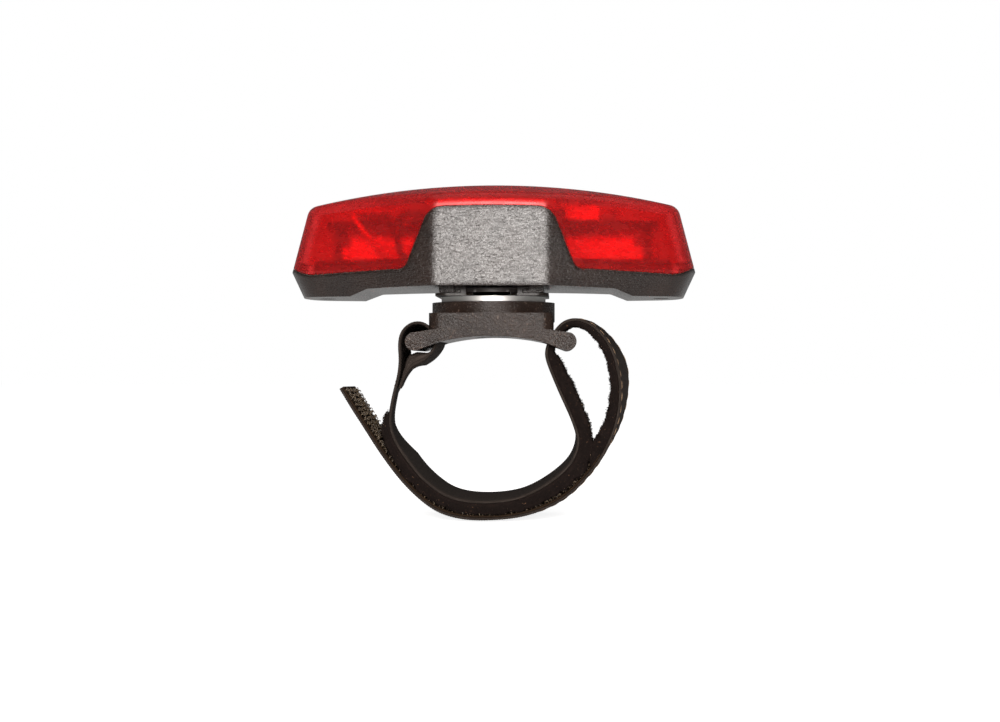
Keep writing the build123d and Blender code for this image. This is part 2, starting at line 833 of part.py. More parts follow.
with BuildPart() as slide_shoe:
    centre = Plane.XY
    round_bar(centre, spigot_radius, spigot_foot, hub_foot)
    round_bar(centre, hub_radius, hub_foot, disc_low)
    round_bar(centre, disc_radius, disc_low, disc_top)
    with BuildSketch(Plane.XY.offset(disc_top)) as plate:
        Rectangle(2 * plate_half, 2 * plate_reach)
        fillet(plate.vertices(), radius=plate_round)
    extrude(plate.sketch, amount=plate_thick)
    block((-neck_half, -plate_reach, disc_top), (neck_half, shoe_rear, flange_low))
    block((-flange_half, -plate_reach, flange_low), (flange_half, shoe_rear, flange_top))
    slot_side = latch_half + latch_gap
    slot_end = latch_pivot_y + latch_pin_radius + latch_gap
    block((-slot_side, -disc_radius, latch_slot_low), (slot_side, slot_end, flange_top), Mode.SUBTRACT)
    tab_inner = tab_radius - tab_thick - latch_gap
    with BuildSketch(Plane.XY.offset(latch_slot_low)) as tab_room:
        Circle(tab_radius + latch_gap)
        Circle(tab_inner, mode=Mode.SUBTRACT)
        with Locations((0, -tab_radius)):
            Rectangle(2 * (tab_half + latch_gap), tab_radius, mode=Mode.INTERSECT)
    extrude(tab_room.sketch, amount=flange_top - latch_slot_low, mode=Mode.SUBTRACT)
    hinge_height = latch_low + stem_thick / 2
    hinge = Plane((0, latch_pivot_y, hinge_height), x_dir=(0, 1, 0), z_dir=(1, 0, 0))
    hole_end = latch_pin_half + latch_pin_gap
    round_bar(hinge, latch_pin_radius + latch_pin_gap, -hole_end, hole_end, Mode.SUBTRACT)
    round_bar(centre, pivot_screw_radius, spigot_foot, spigot_foot + pivot_length, Mode.SUBTRACT)
slide_shoe.part.label = "slide_shoe"
export_step(slide_shoe.part, "parts/slide_shoe.step")

with BuildPart() as release_latch:
    round_bar(hinge, latch_pin_radius, -latch_pin_half, latch_pin_half)
    stem_front = tab_radius - tab_thick / 2
    block((-latch_half, -stem_front, latch_low), (latch_half, latch_pivot_y, latch_low + stem_thick))
    with BuildSketch(Plane.XY.offset(latch_low)) as tab:
        Circle(tab_radius)
        Circle(tab_radius - tab_thick, mode=Mode.SUBTRACT)
        with Locations((0, -tab_radius)):
            Rectangle(2 * tab_half, tab_radius, mode=Mode.INTERSECT)
    extrude(tab.sketch, amount=tab_height)
    ridge_y = tab_radius - tab_thick
    block((-latch_half, -ridge_y, latch_low), (latch_half, nub_ridge - ridge_y, latch_low + tab_height))
release_latch.part.label = "release_latch"
export_step(release_latch.part, "parts/release_latch.step")

with BuildPart() as swivel_washer:
    round_bar(Plane.XY, washer_radius, washer_low, spigot_foot)
    round_bar(Plane.XY, pivot_screw_radius, washer_low, spigot_foot, Mode.SUBTRACT)
swivel_washer.part.label = "swivel_washer"
export_step(swivel_washer.part, "parts/swivel_washer.step")

with BuildPart() as swivel_screw:
    head_low = washer_low - pivot_head_thick
    round_bar(Plane.XY, pivot_head_radius, head_low, washer_low)
    round_bar(Plane.XY, pivot_screw_radius, washer_low, spigot_foot + pivot_length)
    with BuildSketch(Plane.XY.offset(head_low)) as socket:
        RegularPolygon(pivot_screw_radius, 6)
    extrude(socket.sketch, amount=pivot_head_thick / 2, mode=Mode.SUBTRACT)
swivel_screw.part.label = "swivel_screw"
export_step(swivel_screw.part, "parts/swivel_screw.step")

with BuildPart() as detent_spring:
    spring_low = bracket_height - spring_depth
    round_bar(Plane.XY, spring_outer, spring_low, spring_low + spring_thick)
    with PolarLocations((spring_inner + spring_outer) / 2, spring_bumps):
        Box(
            spring_outer - spring_inner,
            spring_outer - spring_inner,
            spring_low + spring_thick + bump_height,
            align=(Align.CENTER, Align.CENTER, Align.MIN),
        )
    round_bar(Plane.XY, spring_outer, 0, spring_low, Mode.SUBTRACT)
    round_bar(Plane.XY, spring_inner, 0, bracket_height, Mode.SUBTRACT)
    with BuildSketch(Plane.XY) as rim:
        Circle(2 * spring_outer)
        Circle(spring_outer, mode=Mode.SUBTRACT)
    extrude(rim.sketch, amount=bracket_height, mode=Mode.SUBTRACT)
detent_spring.part.label = "detent_spring"
export_step(detent_spring.part, "parts/detent_spring.step")

with BuildPart() as saddle_bracket:
    with BuildSketch(Plane.XZ) as profile:
        with BuildLine():
            sag = hollow_radius - sqrt(hollow_radius**2 - hollow_half**2)
            half_sag = hollow_radius - sqrt(hollow_radius**2 - hollow_half**2 / 4)
            ThreePointArc((0, 0), (hollow_half / 2, -half_sag), (hollow_half, -sag))
            Line((hollow_half, -sag), (ear_foot_x, -ear_drop))
            ThreePointArc((ear_foot_x, -ear_drop), (ear_half, ear_tip_z), (ear_top_x, ear_top_z))
            Line((ear_top_x, ear_top_z), (block_half, ear_height))
            Polyline((block_half, ear_height), (block_half, block_height), (0, block_height))
            mirror(about=Plane.YZ)
        make_face()
    extrude(profile.sketch, amount=bracket_half, both=True)
    uprights = saddle_bracket.edges().filter_by(Axis.Z)
    corners = uprights.filter_by(lambda edge: abs(abs(edge.center().X) - block_half) < touch)
    fillet(corners, radius=block_round)
    round_bar(Plane.XY, turret_radius, turret_foot, bracket_height)
    for side in (1, -1):
        with BuildSketch(Plane.XZ) as slot:
            with BuildLine():
                Polyline(*[(side * x, z) for x, z in slot_inner + slot_outer], close=True)
            make_face()
        extrude(slot.sketch, amount=slot_half, both=True, mode=Mode.SUBTRACT)
    round_bar(Plane.XY, hub_radius + hub_gap, hub_foot - swivel_gap, bracket_height, Mode.SUBTRACT)
    round_bar(Plane.XY, spigot_radius + hub_gap, 0, bracket_height, Mode.SUBTRACT)
    round_bar(Plane.XY, recess_radius, -1, web_foot, Mode.SUBTRACT)
    with BuildSketch(Plane.XY.offset(bracket_height - spring_depth)) as groove:
        Circle(spring_outer + spring_gap)
        Circle(spring_inner - spring_gap, mode=Mode.SUBTRACT)
    extrude(groove.sketch, amount=spring_depth, mode=Mode.SUBTRACT)
saddle_bracket.part.label = "saddle_bracket"
export_step(saddle_bracket.part, "parts/saddle_bracket.step")


def aside(route, distance):
    """Corners of the line beside a route in XZ, at a distance to the right of its travel."""
    beside = []
    for i, (x, z) in enumerate(route):
        before = Vector(x - route[i - 1][0], z - route[i - 1][1]) if i else None
        after = Vector(route[i + 1][0] - x, route[i + 1][1] - z) if i + 1 < len(route) else None
        first = (before or after).normalized()
        second = (after or before).normalized()
        bisector = Vector(first.Y + second.Y, -first.X - second.X)
        shift = bisector * (2 * distance / bisector.length**2)
        beside.append((x + shift.X, z + shift.Y))
    return beside


def bends(route, distance):
    """Radii of the arcs at a route's inner corners, for the line beside it at a distance."""
    radii = []
    for start, corner, end in zip(route, route[1:], route[2:]):
        before = Vector(corner[0] - start[0], corner[1] - start[1])
        after = Vector(end[0] - corner[0], end[1] - corner[1])
        half_turn = radians(before.get_angle(after)) / 2
        radius = arc_share * min(before.length, after.length) / tan(half_turn)
        left_turn = before.cross(after).Z > 0
        radii.append(radius + distance if left_turn else radius - distance)
    return radii


def halfway(run):
    """Middle of one of the strap's runs."""
    start, end = strap_route[run], strap_route[run + 1]
    return ((start[0] + end[0]) / 2, (start[1] + end[1]) / 2)


def strap_band(first, last, near, far):
    """Band of the strap between two of its runs, from near to far beside its smooth face."""
    start = halfway(first) if first else strap_route[0]
    end = halfway(last) if last < last_run else strap_route[-1]
    stretch = [start] + strap_route[first + 1 : last + 1] + [end]
    all_radii = {distance: bends(strap_route, distance)[first:last] for distance in (near, far)}
    with BuildSketch(Plane.XZ) as band:
        with BuildLine():
            inner = FilletPolyline(*aside(stretch, near), radius=all_radii[near])
            outer = FilletPolyline(*aside(stretch, far), radius=all_radii[far])
            Line(inner @ 0, outer @ 0)
            Line(inner @ 1, outer @ 1)
        make_face()
    extrude(band.sketch, amount=strap_half, both=True)


def strap_face(run, share, side):
    """Plane on a straight run of the strap, with its own X along Y and Z out of the face called side."""
    (x0, z0), (x1, z1) = strap_route[run], strap_route[run + 1]
    right = Vector(z1 - z0, 0, x0 - x1).normalized()
    depth = webbing_thick if side == 1 else 0
    place = Vector(x0 + (x1 - x0) * share, 0, z0 + (z1 - z0) * share) + right * depth
    return Plane(place, x_dir=(0, 1, 0), z_dir=right * side)


def stitch(face, y, length, width):
    """One stitch lying on a face of the strap."""
    with BuildSketch(face) as thread:
        with Locations((y, 0)):
            Rectangle(length, width)
    extrude(thread.sketch, amount=stitch_thick / 2)


# Smooth face of the strap, seen along Y: the sewn tail, round the left ear, down and under,
# up through the right ear, over it and back under to the free end
hoop_bottom = [(2.94, -27.8), (-5.9, -27.8), (-11.07, -24.57)]
strap_route = [
    (-15.82, -8.76),
    (-14.97, -5.51),
    (-11.43, -3.73),
    (-9.65, -1.44),
    (-9.84, -0.37),
    (-11.28, 1.95),
    (-13.69, 1.95),
    (-15.43, -0.11),
    (-14.99, -5.26),
    (-16.54, -11.29),
    (-17.0, -15.35),
    (-15.39, -19.04),
    *reversed(hoop_bottom),
    (8.48, -25.45),
    (12.74, -22.12),
    (14.45, -18.9),
    (14.3, -15.9),
    (9.41, -5.34),
    (8.78, -1.76),
    (11.92, 3.03),
    (16.43, 3.42),
    (20.76, -0.21),
    (23.2, -5.7),
    (22.97, -12.3),
    (21.2, -17.76),
    (17.56, -23.37),
    (12.01, -28.36),
]
lap = 2 * webbing_thick + pile_thick + hook_thick + lap_gap
strap_route += list(reversed(aside(list(reversed(hoop_bottom)), lap)))
strap_route += [(-19.59, -19.49), (-25.9, -9.0)]
last_run = len(strap_route) - 2

with BuildPart() as strap_webbing:
    strap_band(0, last_run, 0, webbing_thick)
strap_webbing.part.label = "strap_webbing"
export_step(strap_webbing.part, "parts/strap_webbing.step")

with BuildPart() as strap_loop_pile:
    strap_band(9, 25, webbing_thick, webbing_thick + pile_thick)
strap_loop_pile.part.label = "strap_loop_pile"
export_step(strap_loop_pile.part, "parts/strap_loop_pile.step")

with BuildPart() as strap_hook_tape:
    strap_band(26, last_run, webbing_thick, webbing_thick + hook_thick)
strap_hook_tape.part.label = "strap_hook_tape"
export_step(strap_hook_tape.part, "parts/strap_hook_tape.step")

with BuildPart() as strap_stitches:
    for share in seam_shares:
        seam = strap_face(8, share, 1)
        for column in range(stitch_columns):
            y = (column - (stitch_columns - 1) / 2) * stitch_pitch
            stitch(seam, y, stitch_length, stitch_thick)
    for run in edge_runs:
        for share in edge_shares:
            edge = strap_face(run, share, -1)
            for y in (strap_half - stitch_edge, stitch_edge - strap_half):
                stitch(edge, y, stitch_thick, stitch_length)
strap_stitches.part.label = "strap_stitches"
export_step(strap_stitches.part, "parts/strap_stitches.step")
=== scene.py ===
import math

import bpy
import numpy as np
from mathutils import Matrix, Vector


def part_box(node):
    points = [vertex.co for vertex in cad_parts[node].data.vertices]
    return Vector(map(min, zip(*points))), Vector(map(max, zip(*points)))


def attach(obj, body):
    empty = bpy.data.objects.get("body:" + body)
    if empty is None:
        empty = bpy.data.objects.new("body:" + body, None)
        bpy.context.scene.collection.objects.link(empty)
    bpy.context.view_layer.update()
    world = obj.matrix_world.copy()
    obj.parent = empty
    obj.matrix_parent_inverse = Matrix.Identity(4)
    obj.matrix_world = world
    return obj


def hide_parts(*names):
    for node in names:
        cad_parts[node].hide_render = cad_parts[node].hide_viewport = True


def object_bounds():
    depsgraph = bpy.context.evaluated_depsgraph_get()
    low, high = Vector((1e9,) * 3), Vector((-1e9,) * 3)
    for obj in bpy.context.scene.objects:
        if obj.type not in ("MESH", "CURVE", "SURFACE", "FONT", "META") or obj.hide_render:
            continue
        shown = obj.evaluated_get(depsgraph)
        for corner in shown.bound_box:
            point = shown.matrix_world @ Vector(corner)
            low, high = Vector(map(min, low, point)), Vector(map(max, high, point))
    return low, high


bl_info = {
    "name": "Helmet Rear Light",
    "version": (1, 0, 0),
    "blender": (4, 5, 0),
    "location": "View3D > Sidebar > Helmet Light",
    "description": "Dresses the packed helmet rear light with its finishes and its strap",
    "category": "Object",
}

# Metres. +X runs along the lamp, +Z goes out through the lens, -Y is the side with the latch.
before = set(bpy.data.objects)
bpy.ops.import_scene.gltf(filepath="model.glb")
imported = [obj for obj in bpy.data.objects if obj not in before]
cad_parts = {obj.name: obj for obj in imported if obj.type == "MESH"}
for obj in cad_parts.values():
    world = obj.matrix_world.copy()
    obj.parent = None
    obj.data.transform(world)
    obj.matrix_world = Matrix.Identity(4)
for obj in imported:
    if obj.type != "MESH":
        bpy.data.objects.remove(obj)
cad_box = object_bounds()

MM = 0.001
SEED = 7

# Heights of the turntable disc's rim above the saddle's hollow, in millimetres
RIM_LOW = 5.97
RIM_HIGH = 6.88

# How far the pile and the hook tape are let into the webbing
LAYER_SINK = 0.1 * MM

PLATED_STEEL = (0.62, 0.61, 0.59)

# Corners of the strap's smooth face, seen along Y: the sewn tail, round the left ear, down and
# under, up through the right ear, over it and back under to the free end
STRAP_ROUTE = [
    (-0.01582, -0.00876),
    (-0.01497, -0.00551),
    (-0.01143, -0.00373),
    (-0.00965, -0.00144),
    (-0.00984, -0.00037),
    (-0.01128, 0.00195),
    (-0.01369, 0.00195),
    (-0.01543, -0.00011),
    (-0.01499, -0.00526),
    (-0.01654, -0.01129),
    (-0.01700, -0.01535),
    (-0.01539, -0.01904),
    (-0.01107, -0.02457),
    (-0.00590, -0.02780),
    (0.00294, -0.02780),
    (0.00848, -0.02545),
    (0.01274, -0.02212),
    (0.01445, -0.01890),
    (0.01430, -0.01590),
    (0.00941, -0.00534),
    (0.00878, -0.00176),
    (0.01192, 0.00303),
    (0.01643, 0.00342),
    (0.02076, -0.00021),
    (0.02320, -0.00570),
    (0.02297, -0.01230),
    (0.02120, -0.01776),
    (0.01756, -0.02337),
    (0.01201, -0.02836),
    (0.00392, -0.03130),
    (-0.00695, -0.03130),
    (-0.01321, -0.02739),
    (-0.01959, -0.01949),
    (-0.02590, -0.00900),
]

# How full the pile stands, at places counted in runs of the route: it fills the lap, stands free
# beside it, and lies flat in the bracket's slot
PILE_FULLNESS = [
    (9.5, 0.55),
    (10.5, 1.10),
    (11.5, 1.32),
    (13.5, 1.30),
    (14.5, 1.40),
    (15.5, 1.60),
    (16.5, 1.75),
    (17.5, 1.45),
    (18.7, 1.45),
    (19.3, 1.15),
    (19.8, 0.60),
    (21.4, 0.55),
    (22.5, 0.80),
    (24.5, 0.95),
    (25.5, 1.20),
    (26.3, 1.45),
    (26.9, 0.80),
]

# How far the far edge stands off the near one, in millimetres towards the rough side: the sewn
# tail, the loop round the left ear and the left limb are twisted, and the outer pass and the free
# end stand out
STRAP_TWIST = [
    (0.1, -1.5),
    (1.0, -1.0),
    (1.6, 0.0),
    (4.2, 0.0),
    (5.0, -0.7),
    (6.4, -0.7),
    (7.2, 0.0),
    (8.1, 0.0),
    (8.8, 1.4),
    (10.0, 1.4),
    (11.3, 0.0),
    (21.0, 0.0),
    (23.9, -2.4),
    (28.0, 0.0),
    (31.5, 0.0),
    (32.9, -0.5),
]

# How thick the sewn tail's folded end lies under the left ear, in millimetres
HEM_FILL = [(0.6, 0.0), (1.1, 0.5), (1.5, 1.7), (1.9, 1.5), (2.3, 0.3), (2.5, 0.0)]

# Share of the strap's width that stays in place where it is twisted, from the near edge
TWIST_PIVOT = [(20.0, 0.0), (21.0, 0.5), (28.0, 0.5), (31.5, 0.0)]


# Sizes and colours


def length_setting(name, description, default):
    """Setting for a length in metres."""
    return bpy.props.FloatProperty(
        name=name, description=description, default=default, unit="LENGTH"
    )


def colour_setting(name, description, default):
    """Setting for a colour."""
    return bpy.props.FloatVectorProperty(
        name=name, description=description, default=default, subtype="COLOR", min=0.0, max=1.0
    )


class StrapSizes(bpy.types.PropertyGroup):
    """Sizes of the strap's weave, loops, hooks and thread."""

    half_width: length_setting(
        "Half Width", "Half the width of the strap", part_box("strap_webbing")[1].y
    )
    webbing_thick: length_setting("Webbing Thickness", "Thickness of the woven band", 0.65 * MM)
    rib_pitch: length_setting(
        "Rib Pitch", "Distance between the ribs of the weave along the strap", 0.42 * MM
    )
    rib_height: length_setting("Rib Height", "Height of the ribs of the weave", 0.12 * MM)
    twist: bpy.props.FloatProperty(
        name="Twist", description="Share of the strap's twist that is taken up", default=1.0
    )
    pile_low: length_setting(
        "Pile Ground", "Thickness of the matted ground that the loops stand on", 1.32 * MM
    )
    pile_high: length_setting("Pile Height", "Height of the loops above the webbing", 1.95 * MM)
    loop_count: bpy.props.IntProperty(
        name="Loops", description="Number of loops in the pile", default=16000, min=0
    )
    loop_radius: length_setting("Loop Thread", "Radius of the thread of one loop", 0.032 * MM)
    hook_pitch: length_setting("Hook Pitch", "Distance between the hooks", 0.95 * MM)
    hook_height: length_setting("Hook Height", "Height of the hooks above their tape", 0.48 * MM)
    hook_radius: length_setting("Hook Wire", "Radius of the wire of one hook", 0.085 * MM)
    thread_radius: length_setting("Thread Radius", "Radius of the sewing thread", 0.08 * MM)


class LampColours(bpy.types.PropertyGroup):
    """Colours of the lamp, its bracket and its strap."""

    lens: colour_setting("Lens", "Colour of the hazy lens", (0.70, 0.034, 0.036))
    housing: colour_setting("Housing", "Colour of the rear shell", (0.010, 0.0046, 0.0030))
    bracket: colour_setting("Bracket", "Colour of the saddle bracket", (0.016, 0.0095, 0.0070))
    webbing: colour_setting(
        "Webbing", "Colour of the woven side of the strap", (0.034, 0.026, 0.022)
    )
    pile: colour_setting("Pile", "Colour of the strap's loops", (0.010, 0.006, 0.005))
    hook: colour_setting("Hooks", "Colour of the strap's hooks", (0.022, 0.012, 0.006))
    thread: colour_setting("Thread", "Colour of the sewing thread", (0.24, 0.16, 0.10))


class StudioSizes(bpy.types.PropertyGroup):
    """Places and strengths of the camera, the lamps and the floor."""

    camera_distance: length_setting(
        "Camera Distance", "Distance of the camera from the strap's middle plane", 0.270
    )
    camera_side: length_setting("Camera Side", "Place of the camera along the lamp", 11.5 * MM)
    camera_turn: bpy.props.FloatProperty(
        name="Camera Turn",
        description="Turn of the camera about the upright, towards the strap's free end",
        default=math.radians(2.2),
        subtype="ANGLE",
    )
    camera_height: length_setting(
        "Camera Height", "Height of the camera, from the top of the saddle's hollow", -4.2 * MM
    )
    camera_lens: bpy.props.FloatProperty(
        name="Focal Length",
        description="Focal length of the camera in millimetres, on a sensor 36 mm wide",
        default=55.55,
    )
    front_power: bpy.props.FloatProperty(
        name="Front Lamp",
        description="Power of the small soft lamp above the camera",
        default=2.9,
        unit="POWER",
    )
    top_power: bpy.props.FloatProperty(
        name="Top Lamp",
        description="Power of the wide soft lamp above the object",
        default=0.9,
        unit="POWER",
    )
    ambient: bpy.props.FloatProperty(
        name="Ambient", description="Strength of the pale room around the object", default=0.17
    )
    front_dark: bpy.props.FloatProperty(
        name="Front of Room",
        description="How bright the room in front of the object looks in its gloss",
        default=0.09,
    )
    room_gloss: bpy.props.FloatProperty(
        name="Back of Room",
        description="How bright the room behind the object looks in its gloss",
        default=0.12,
    )
    floor_gloss: bpy.props.FloatProperty(
        name="Floor in Gloss",
        description="How bright the floor looks in the object's gloss",
        default=0.22,
    )
    floor: colour_setting("Floor", "Colour of the floor", (0.84, 0.84, 0.84))


# Node trees


def add_node(tree, kind, inputs=None, **settings):
    """New node, with each input set to a value or linked from a socket."""
    node = tree.nodes.new(kind)
    node.location = (200 * len(tree.nodes), 0)
    for name, value in settings.items():
        setattr(node, name, value)
    for name, value in (inputs or {}).items():
        if isinstance(value, bpy.types.NodeSocket):
            tree.links.new(value, node.inputs[name])
        else:
            node.inputs[name].default_value = value
    return node


def math_node(tree, operation, first, second=0.5, third=None):
    """Output of a Math node."""
    inputs = {0: first, 1: second}
    if third is not None:
        inputs[2] = third
    return add_node(tree, "ShaderNodeMath", inputs, operation=operation).outputs[0]


def ramp(tree, value, low, high, bottom=0.0, top=1.0):
    """Value carried smoothly from one range to another."""
    inputs = {"Value": value, "From Min": low, "From Max": high, "To Min": bottom, "To Max": top}
    return add_node(
        tree, "ShaderNodeMapRange", inputs, interpolation_type="SMOOTHSTEP"
    ).outputs["Result"]


def mixed(tree, share, first, second, blend="MIX"):
    """Colour between two others."""
    inputs = {0: share, 6: first, 7: second}
    settings = {"data_type": "RGBA", "blend_type": blend}
    return add_node(tree, "ShaderNodeMix", inputs, **settings).outputs[2]


def in_millimetres(tree, squeeze=(1.0, 1.0, 1.0)):
    """The piece's own coordinates in millimetres, squeezed along each axis."""
    place = add_node(tree, "ShaderNodeTexCoord").outputs["Object"]
    scale = [1000.0 * share for share in squeeze]
    return add_node(
        tree, "ShaderNodeVectorMath", {0: place, 1: scale}, operation="MULTIPLY"
    ).outputs["Vector"]


def noise(tree, vector, scale, detail=2.0, roughness=0.5):
    """Noise from 0 to 1."""
    inputs = {"Vector": vector, "Scale": scale, "Detail": detail, "Roughness": roughness}
    return add_node(tree, "ShaderNodeTexNoise", inputs).outputs["Fac"]


def new_group(name, inputs):
    """Shader node group and its given sockets, colours or numbers after their defaults."""
    tree = bpy.data.node_groups.new(name, "ShaderNodeTree")
    for title, value in inputs.items():
        kind = "NodeSocketColor" if isinstance(value, tuple) else "NodeSocketFloat"
        socket = tree.interface.new_socket(title, in_out="INPUT", socket_type=kind)
        socket.default_value = value
    return tree, tree.nodes.new("NodeGroupInput").outputs


def give_out(tree, **results):
    """The group's results, each a colour or a number after the socket that it comes from."""
    for title, result in results.items():
        kind = "NodeSocketColor" if result.type == "RGBA" else "NodeSocketFloat"
        tree.interface.new_socket(title, in_out="OUTPUT", socket_type=kind)
    made = tree.nodes.new("NodeGroupOutput")
    for title, result in results.items():
        tree.links.new(result, made.inputs[title])


def moulded_grain_group():
    """Grain of a moulded skin: fine flecks, a slow drift of tone, and its height."""
    tree, given = new_group(
        "Moulded Grain",
        {
            "Colour": (0.01, 0.01, 0.01, 1),
            "Fleck": (0.1, 0.1, 0.1, 1),
            "Cover": 0.3,
            "Grain per mm": 4.0,
            "Roughness": 0.5,
            "Swing": 0.1,
        },
    )
    place = in_millimetres(tree)
    grain = noise(tree, place, given["Grain per mm"], 3.0, 0.65)
    drift = noise(tree, place, 0.22, 1.0)
    edge = math_node(tree, "MULTIPLY_ADD", given["Cover"], -0.4, 0.74)
    soft = math_node(tree, "ADD", edge, 0.12)
    mask = ramp(tree, grain, edge, soft)
    flecked = mixed(tree, mask, given["Colour"], given["Fleck"])
    tone = ramp(tree, drift, 0.25, 0.75, 0.72, 1.25)
    toned = mixed(tree, 1.0, flecked, tone, "MULTIPLY")
    swing = math_node(tree, "SUBTRACT", grain, 0.5)
    rough = math_node(tree, "MULTIPLY_ADD", swing, given["Swing"], given["Roughness"])
    give_out(tree, Colour=toned, Roughness=rough, Height=grain)


def edge_wear_group():
    """Rubbed edges: a paler colour where the skin turns sharply."""
    tree, given = new_group(
        "Edge Wear",
        {
            "Colour": (0.01, 0.01, 0.01, 1),
            "Worn": (0.1, 0.1, 0.1, 1),
            "Amount": 0.5,
            "Width mm": 0.2,
        },
    )
    width = math_node(tree, "MULTIPLY", given["Width mm"], MM)
    rounded = add_node(tree, "ShaderNodeBevel", {"Radius": width}, samples=4).outputs["Normal"]
    flat = add_node(tree, "ShaderNodeNewGeometry").outputs["Normal"]
    turn = add_node(
        tree, "ShaderNodeVectorMath", {0: rounded, 1: flat}, operation="DOT_PRODUCT"
    ).outputs["Value"]
    bent = ramp(tree, turn, 0.995, 0.86)
    patch = ramp(tree, noise(tree, in_millimetres(tree), 1.7, 3.0), 0.35, 0.65, 0.25, 1.0)
    most = math_node(tree, "MULTIPLY", bent, patch)
    share = math_node(tree, "MULTIPLY", most, given["Amount"])
    rubbed = mixed(tree, share, given["Colour"], given["Worn"])
    give_out(tree, Colour=rubbed)


def settled_dust_group():
    """Faint dust, thicker where the skin faces up."""
    tree, given = new_group(
        "Settled Dust",
        {"Colour": (0.01, 0.01, 0.01, 1), "Dust": (0.25, 0.22, 0.19, 1), "Amount": 0.1},
    )
    normal = add_node(tree, "ShaderNodeTexCoord").outputs["Normal"]
    up = add_node(tree, "ShaderNodeSeparateXYZ", {0: normal}).outputs["Z"]
    lie = ramp(tree, up, -0.3, 0.9, 0.3, 1.0)
    specks = ramp(tree, noise(tree, in_millimetres(tree), 5.5, 4.0, 0.7), 0.52, 0.7)
    most = math_node(tree, "MULTIPLY", lie, specks)
    share = math_node(tree, "MULTIPLY", most, given["Amount"])
    dusty = mixed(tree, share, given["Colour"], given["Dust"])
    give_out(tree, Colour=dusty)


def yarn_group():
    """Yarn of a woven or matted band: threads across its width, stray paler fibres and lint, with
    painted shade and highlight over the cords.
    """
    tree, given = new_group(
        "Yarn",
        {
            "Colour": (0.02, 0.02, 0.02, 1),
            "Fibre": (0.2, 0.14, 0.09, 1),
            "Cover": 0.1,
            "Yarn mm": 0.4,
        },
    )
    place = in_millimetres(tree)
    across = add_node(tree, "ShaderNodeSeparateXYZ", {0: place}).outputs["Y"]
    wander = math_node(tree, "MULTIPLY", noise(tree, place, 0.8, 1.0), 0.5)
    swayed = math_node(tree, "ADD", across, wander)
    turns = math_node(tree, "DIVIDE", swayed, given["Yarn mm"])
    wave = math_node(tree, "SINE", math_node(tree, "MULTIPLY", turns, 2 * math.pi))
    cord = math_node(tree, "MULTIPLY_ADD", wave, 0.5, 0.5)
    fuzz = noise(tree, place, 7.0, 3.0, 0.7)
    height = math_node(tree, "MULTIPLY_ADD", cord, 0.5, math_node(tree, "MULTIPLY", fuzz, 0.8))
    # Colour follows the yarn's height: painted shade between the cords, painted highlight on their
    # tops
    shade = ramp(tree, height, 0.2, 1.1, 0.55, 1.35)
    toned = mixed(tree, 1.0, given["Colour"], shade, "MULTIPLY")
    stretched = in_millimetres(tree, (1.0, 2.6, 1.6))
    stray = noise(tree, stretched, 2.4, 2.0, 0.6)
    edge = math_node(tree, "MULTIPLY_ADD", given["Cover"], -0.4, 0.78)
    mask = ramp(tree, stray, edge, math_node(tree, "ADD", edge, 0.05))
    stranded = mixed(tree, mask, toned, given["Fibre"])
    give_out(tree, Colour=stranded, Height=height)


def place_group(tree, name, inputs):
    """A shared effect placed in a material, with this material's own values."""
    return add_node(tree, "ShaderNodeGroup", inputs, node_tree=bpy.data.node_groups[name])


def blank_material(name, **sockets):
    """Material with one Principled shader, whose own sockets hold what is even."""
    material = bpy.data.materials.new(name)
    material.use_nodes = True
    tree = material.node_tree
    tree.nodes.clear()
    out = tree.nodes.new("ShaderNodeOutputMaterial")
    shader = tree.nodes.new("ShaderNodeBsdfPrincipled")
    tree.links.new(shader.outputs[0], out.inputs["Surface"])
    for title, value in sockets.items():
        shader.inputs[title.replace("_", " ")].default_value = value
    return material, tree, shader


def colour_skin(tree, shader, tone, roughness=None):
    """Base colour that changes over the skin, and its roughness where that changes too."""
    tree.links.new(tone, shader.inputs["Base Color"])
    if roughness is not None:
        tree.links.new(roughness, shader.inputs["Roughness"])


def raise_skin(tree, shader, height, depth, edge=0.0):
    """Bump from a height, as deep as depth in metres, over edges rounded by edge in metres."""
    bump = add_node(tree, "ShaderNodeBump", {"Height": height, "Distance": depth, "Strength": 1.0})
    if edge:
        rounded = add_node(tree, "ShaderNodeBevel", {"Radius": edge}, samples=4)
        tree.links.new(rounded.outputs["Normal"], bump.inputs["Normal"])
    tree.links.new(bump.outputs["Normal"], shader.inputs["Normal"])


def opaque(colour):
    """A colour with its alpha."""
    return (*colour[:3], 1.0)


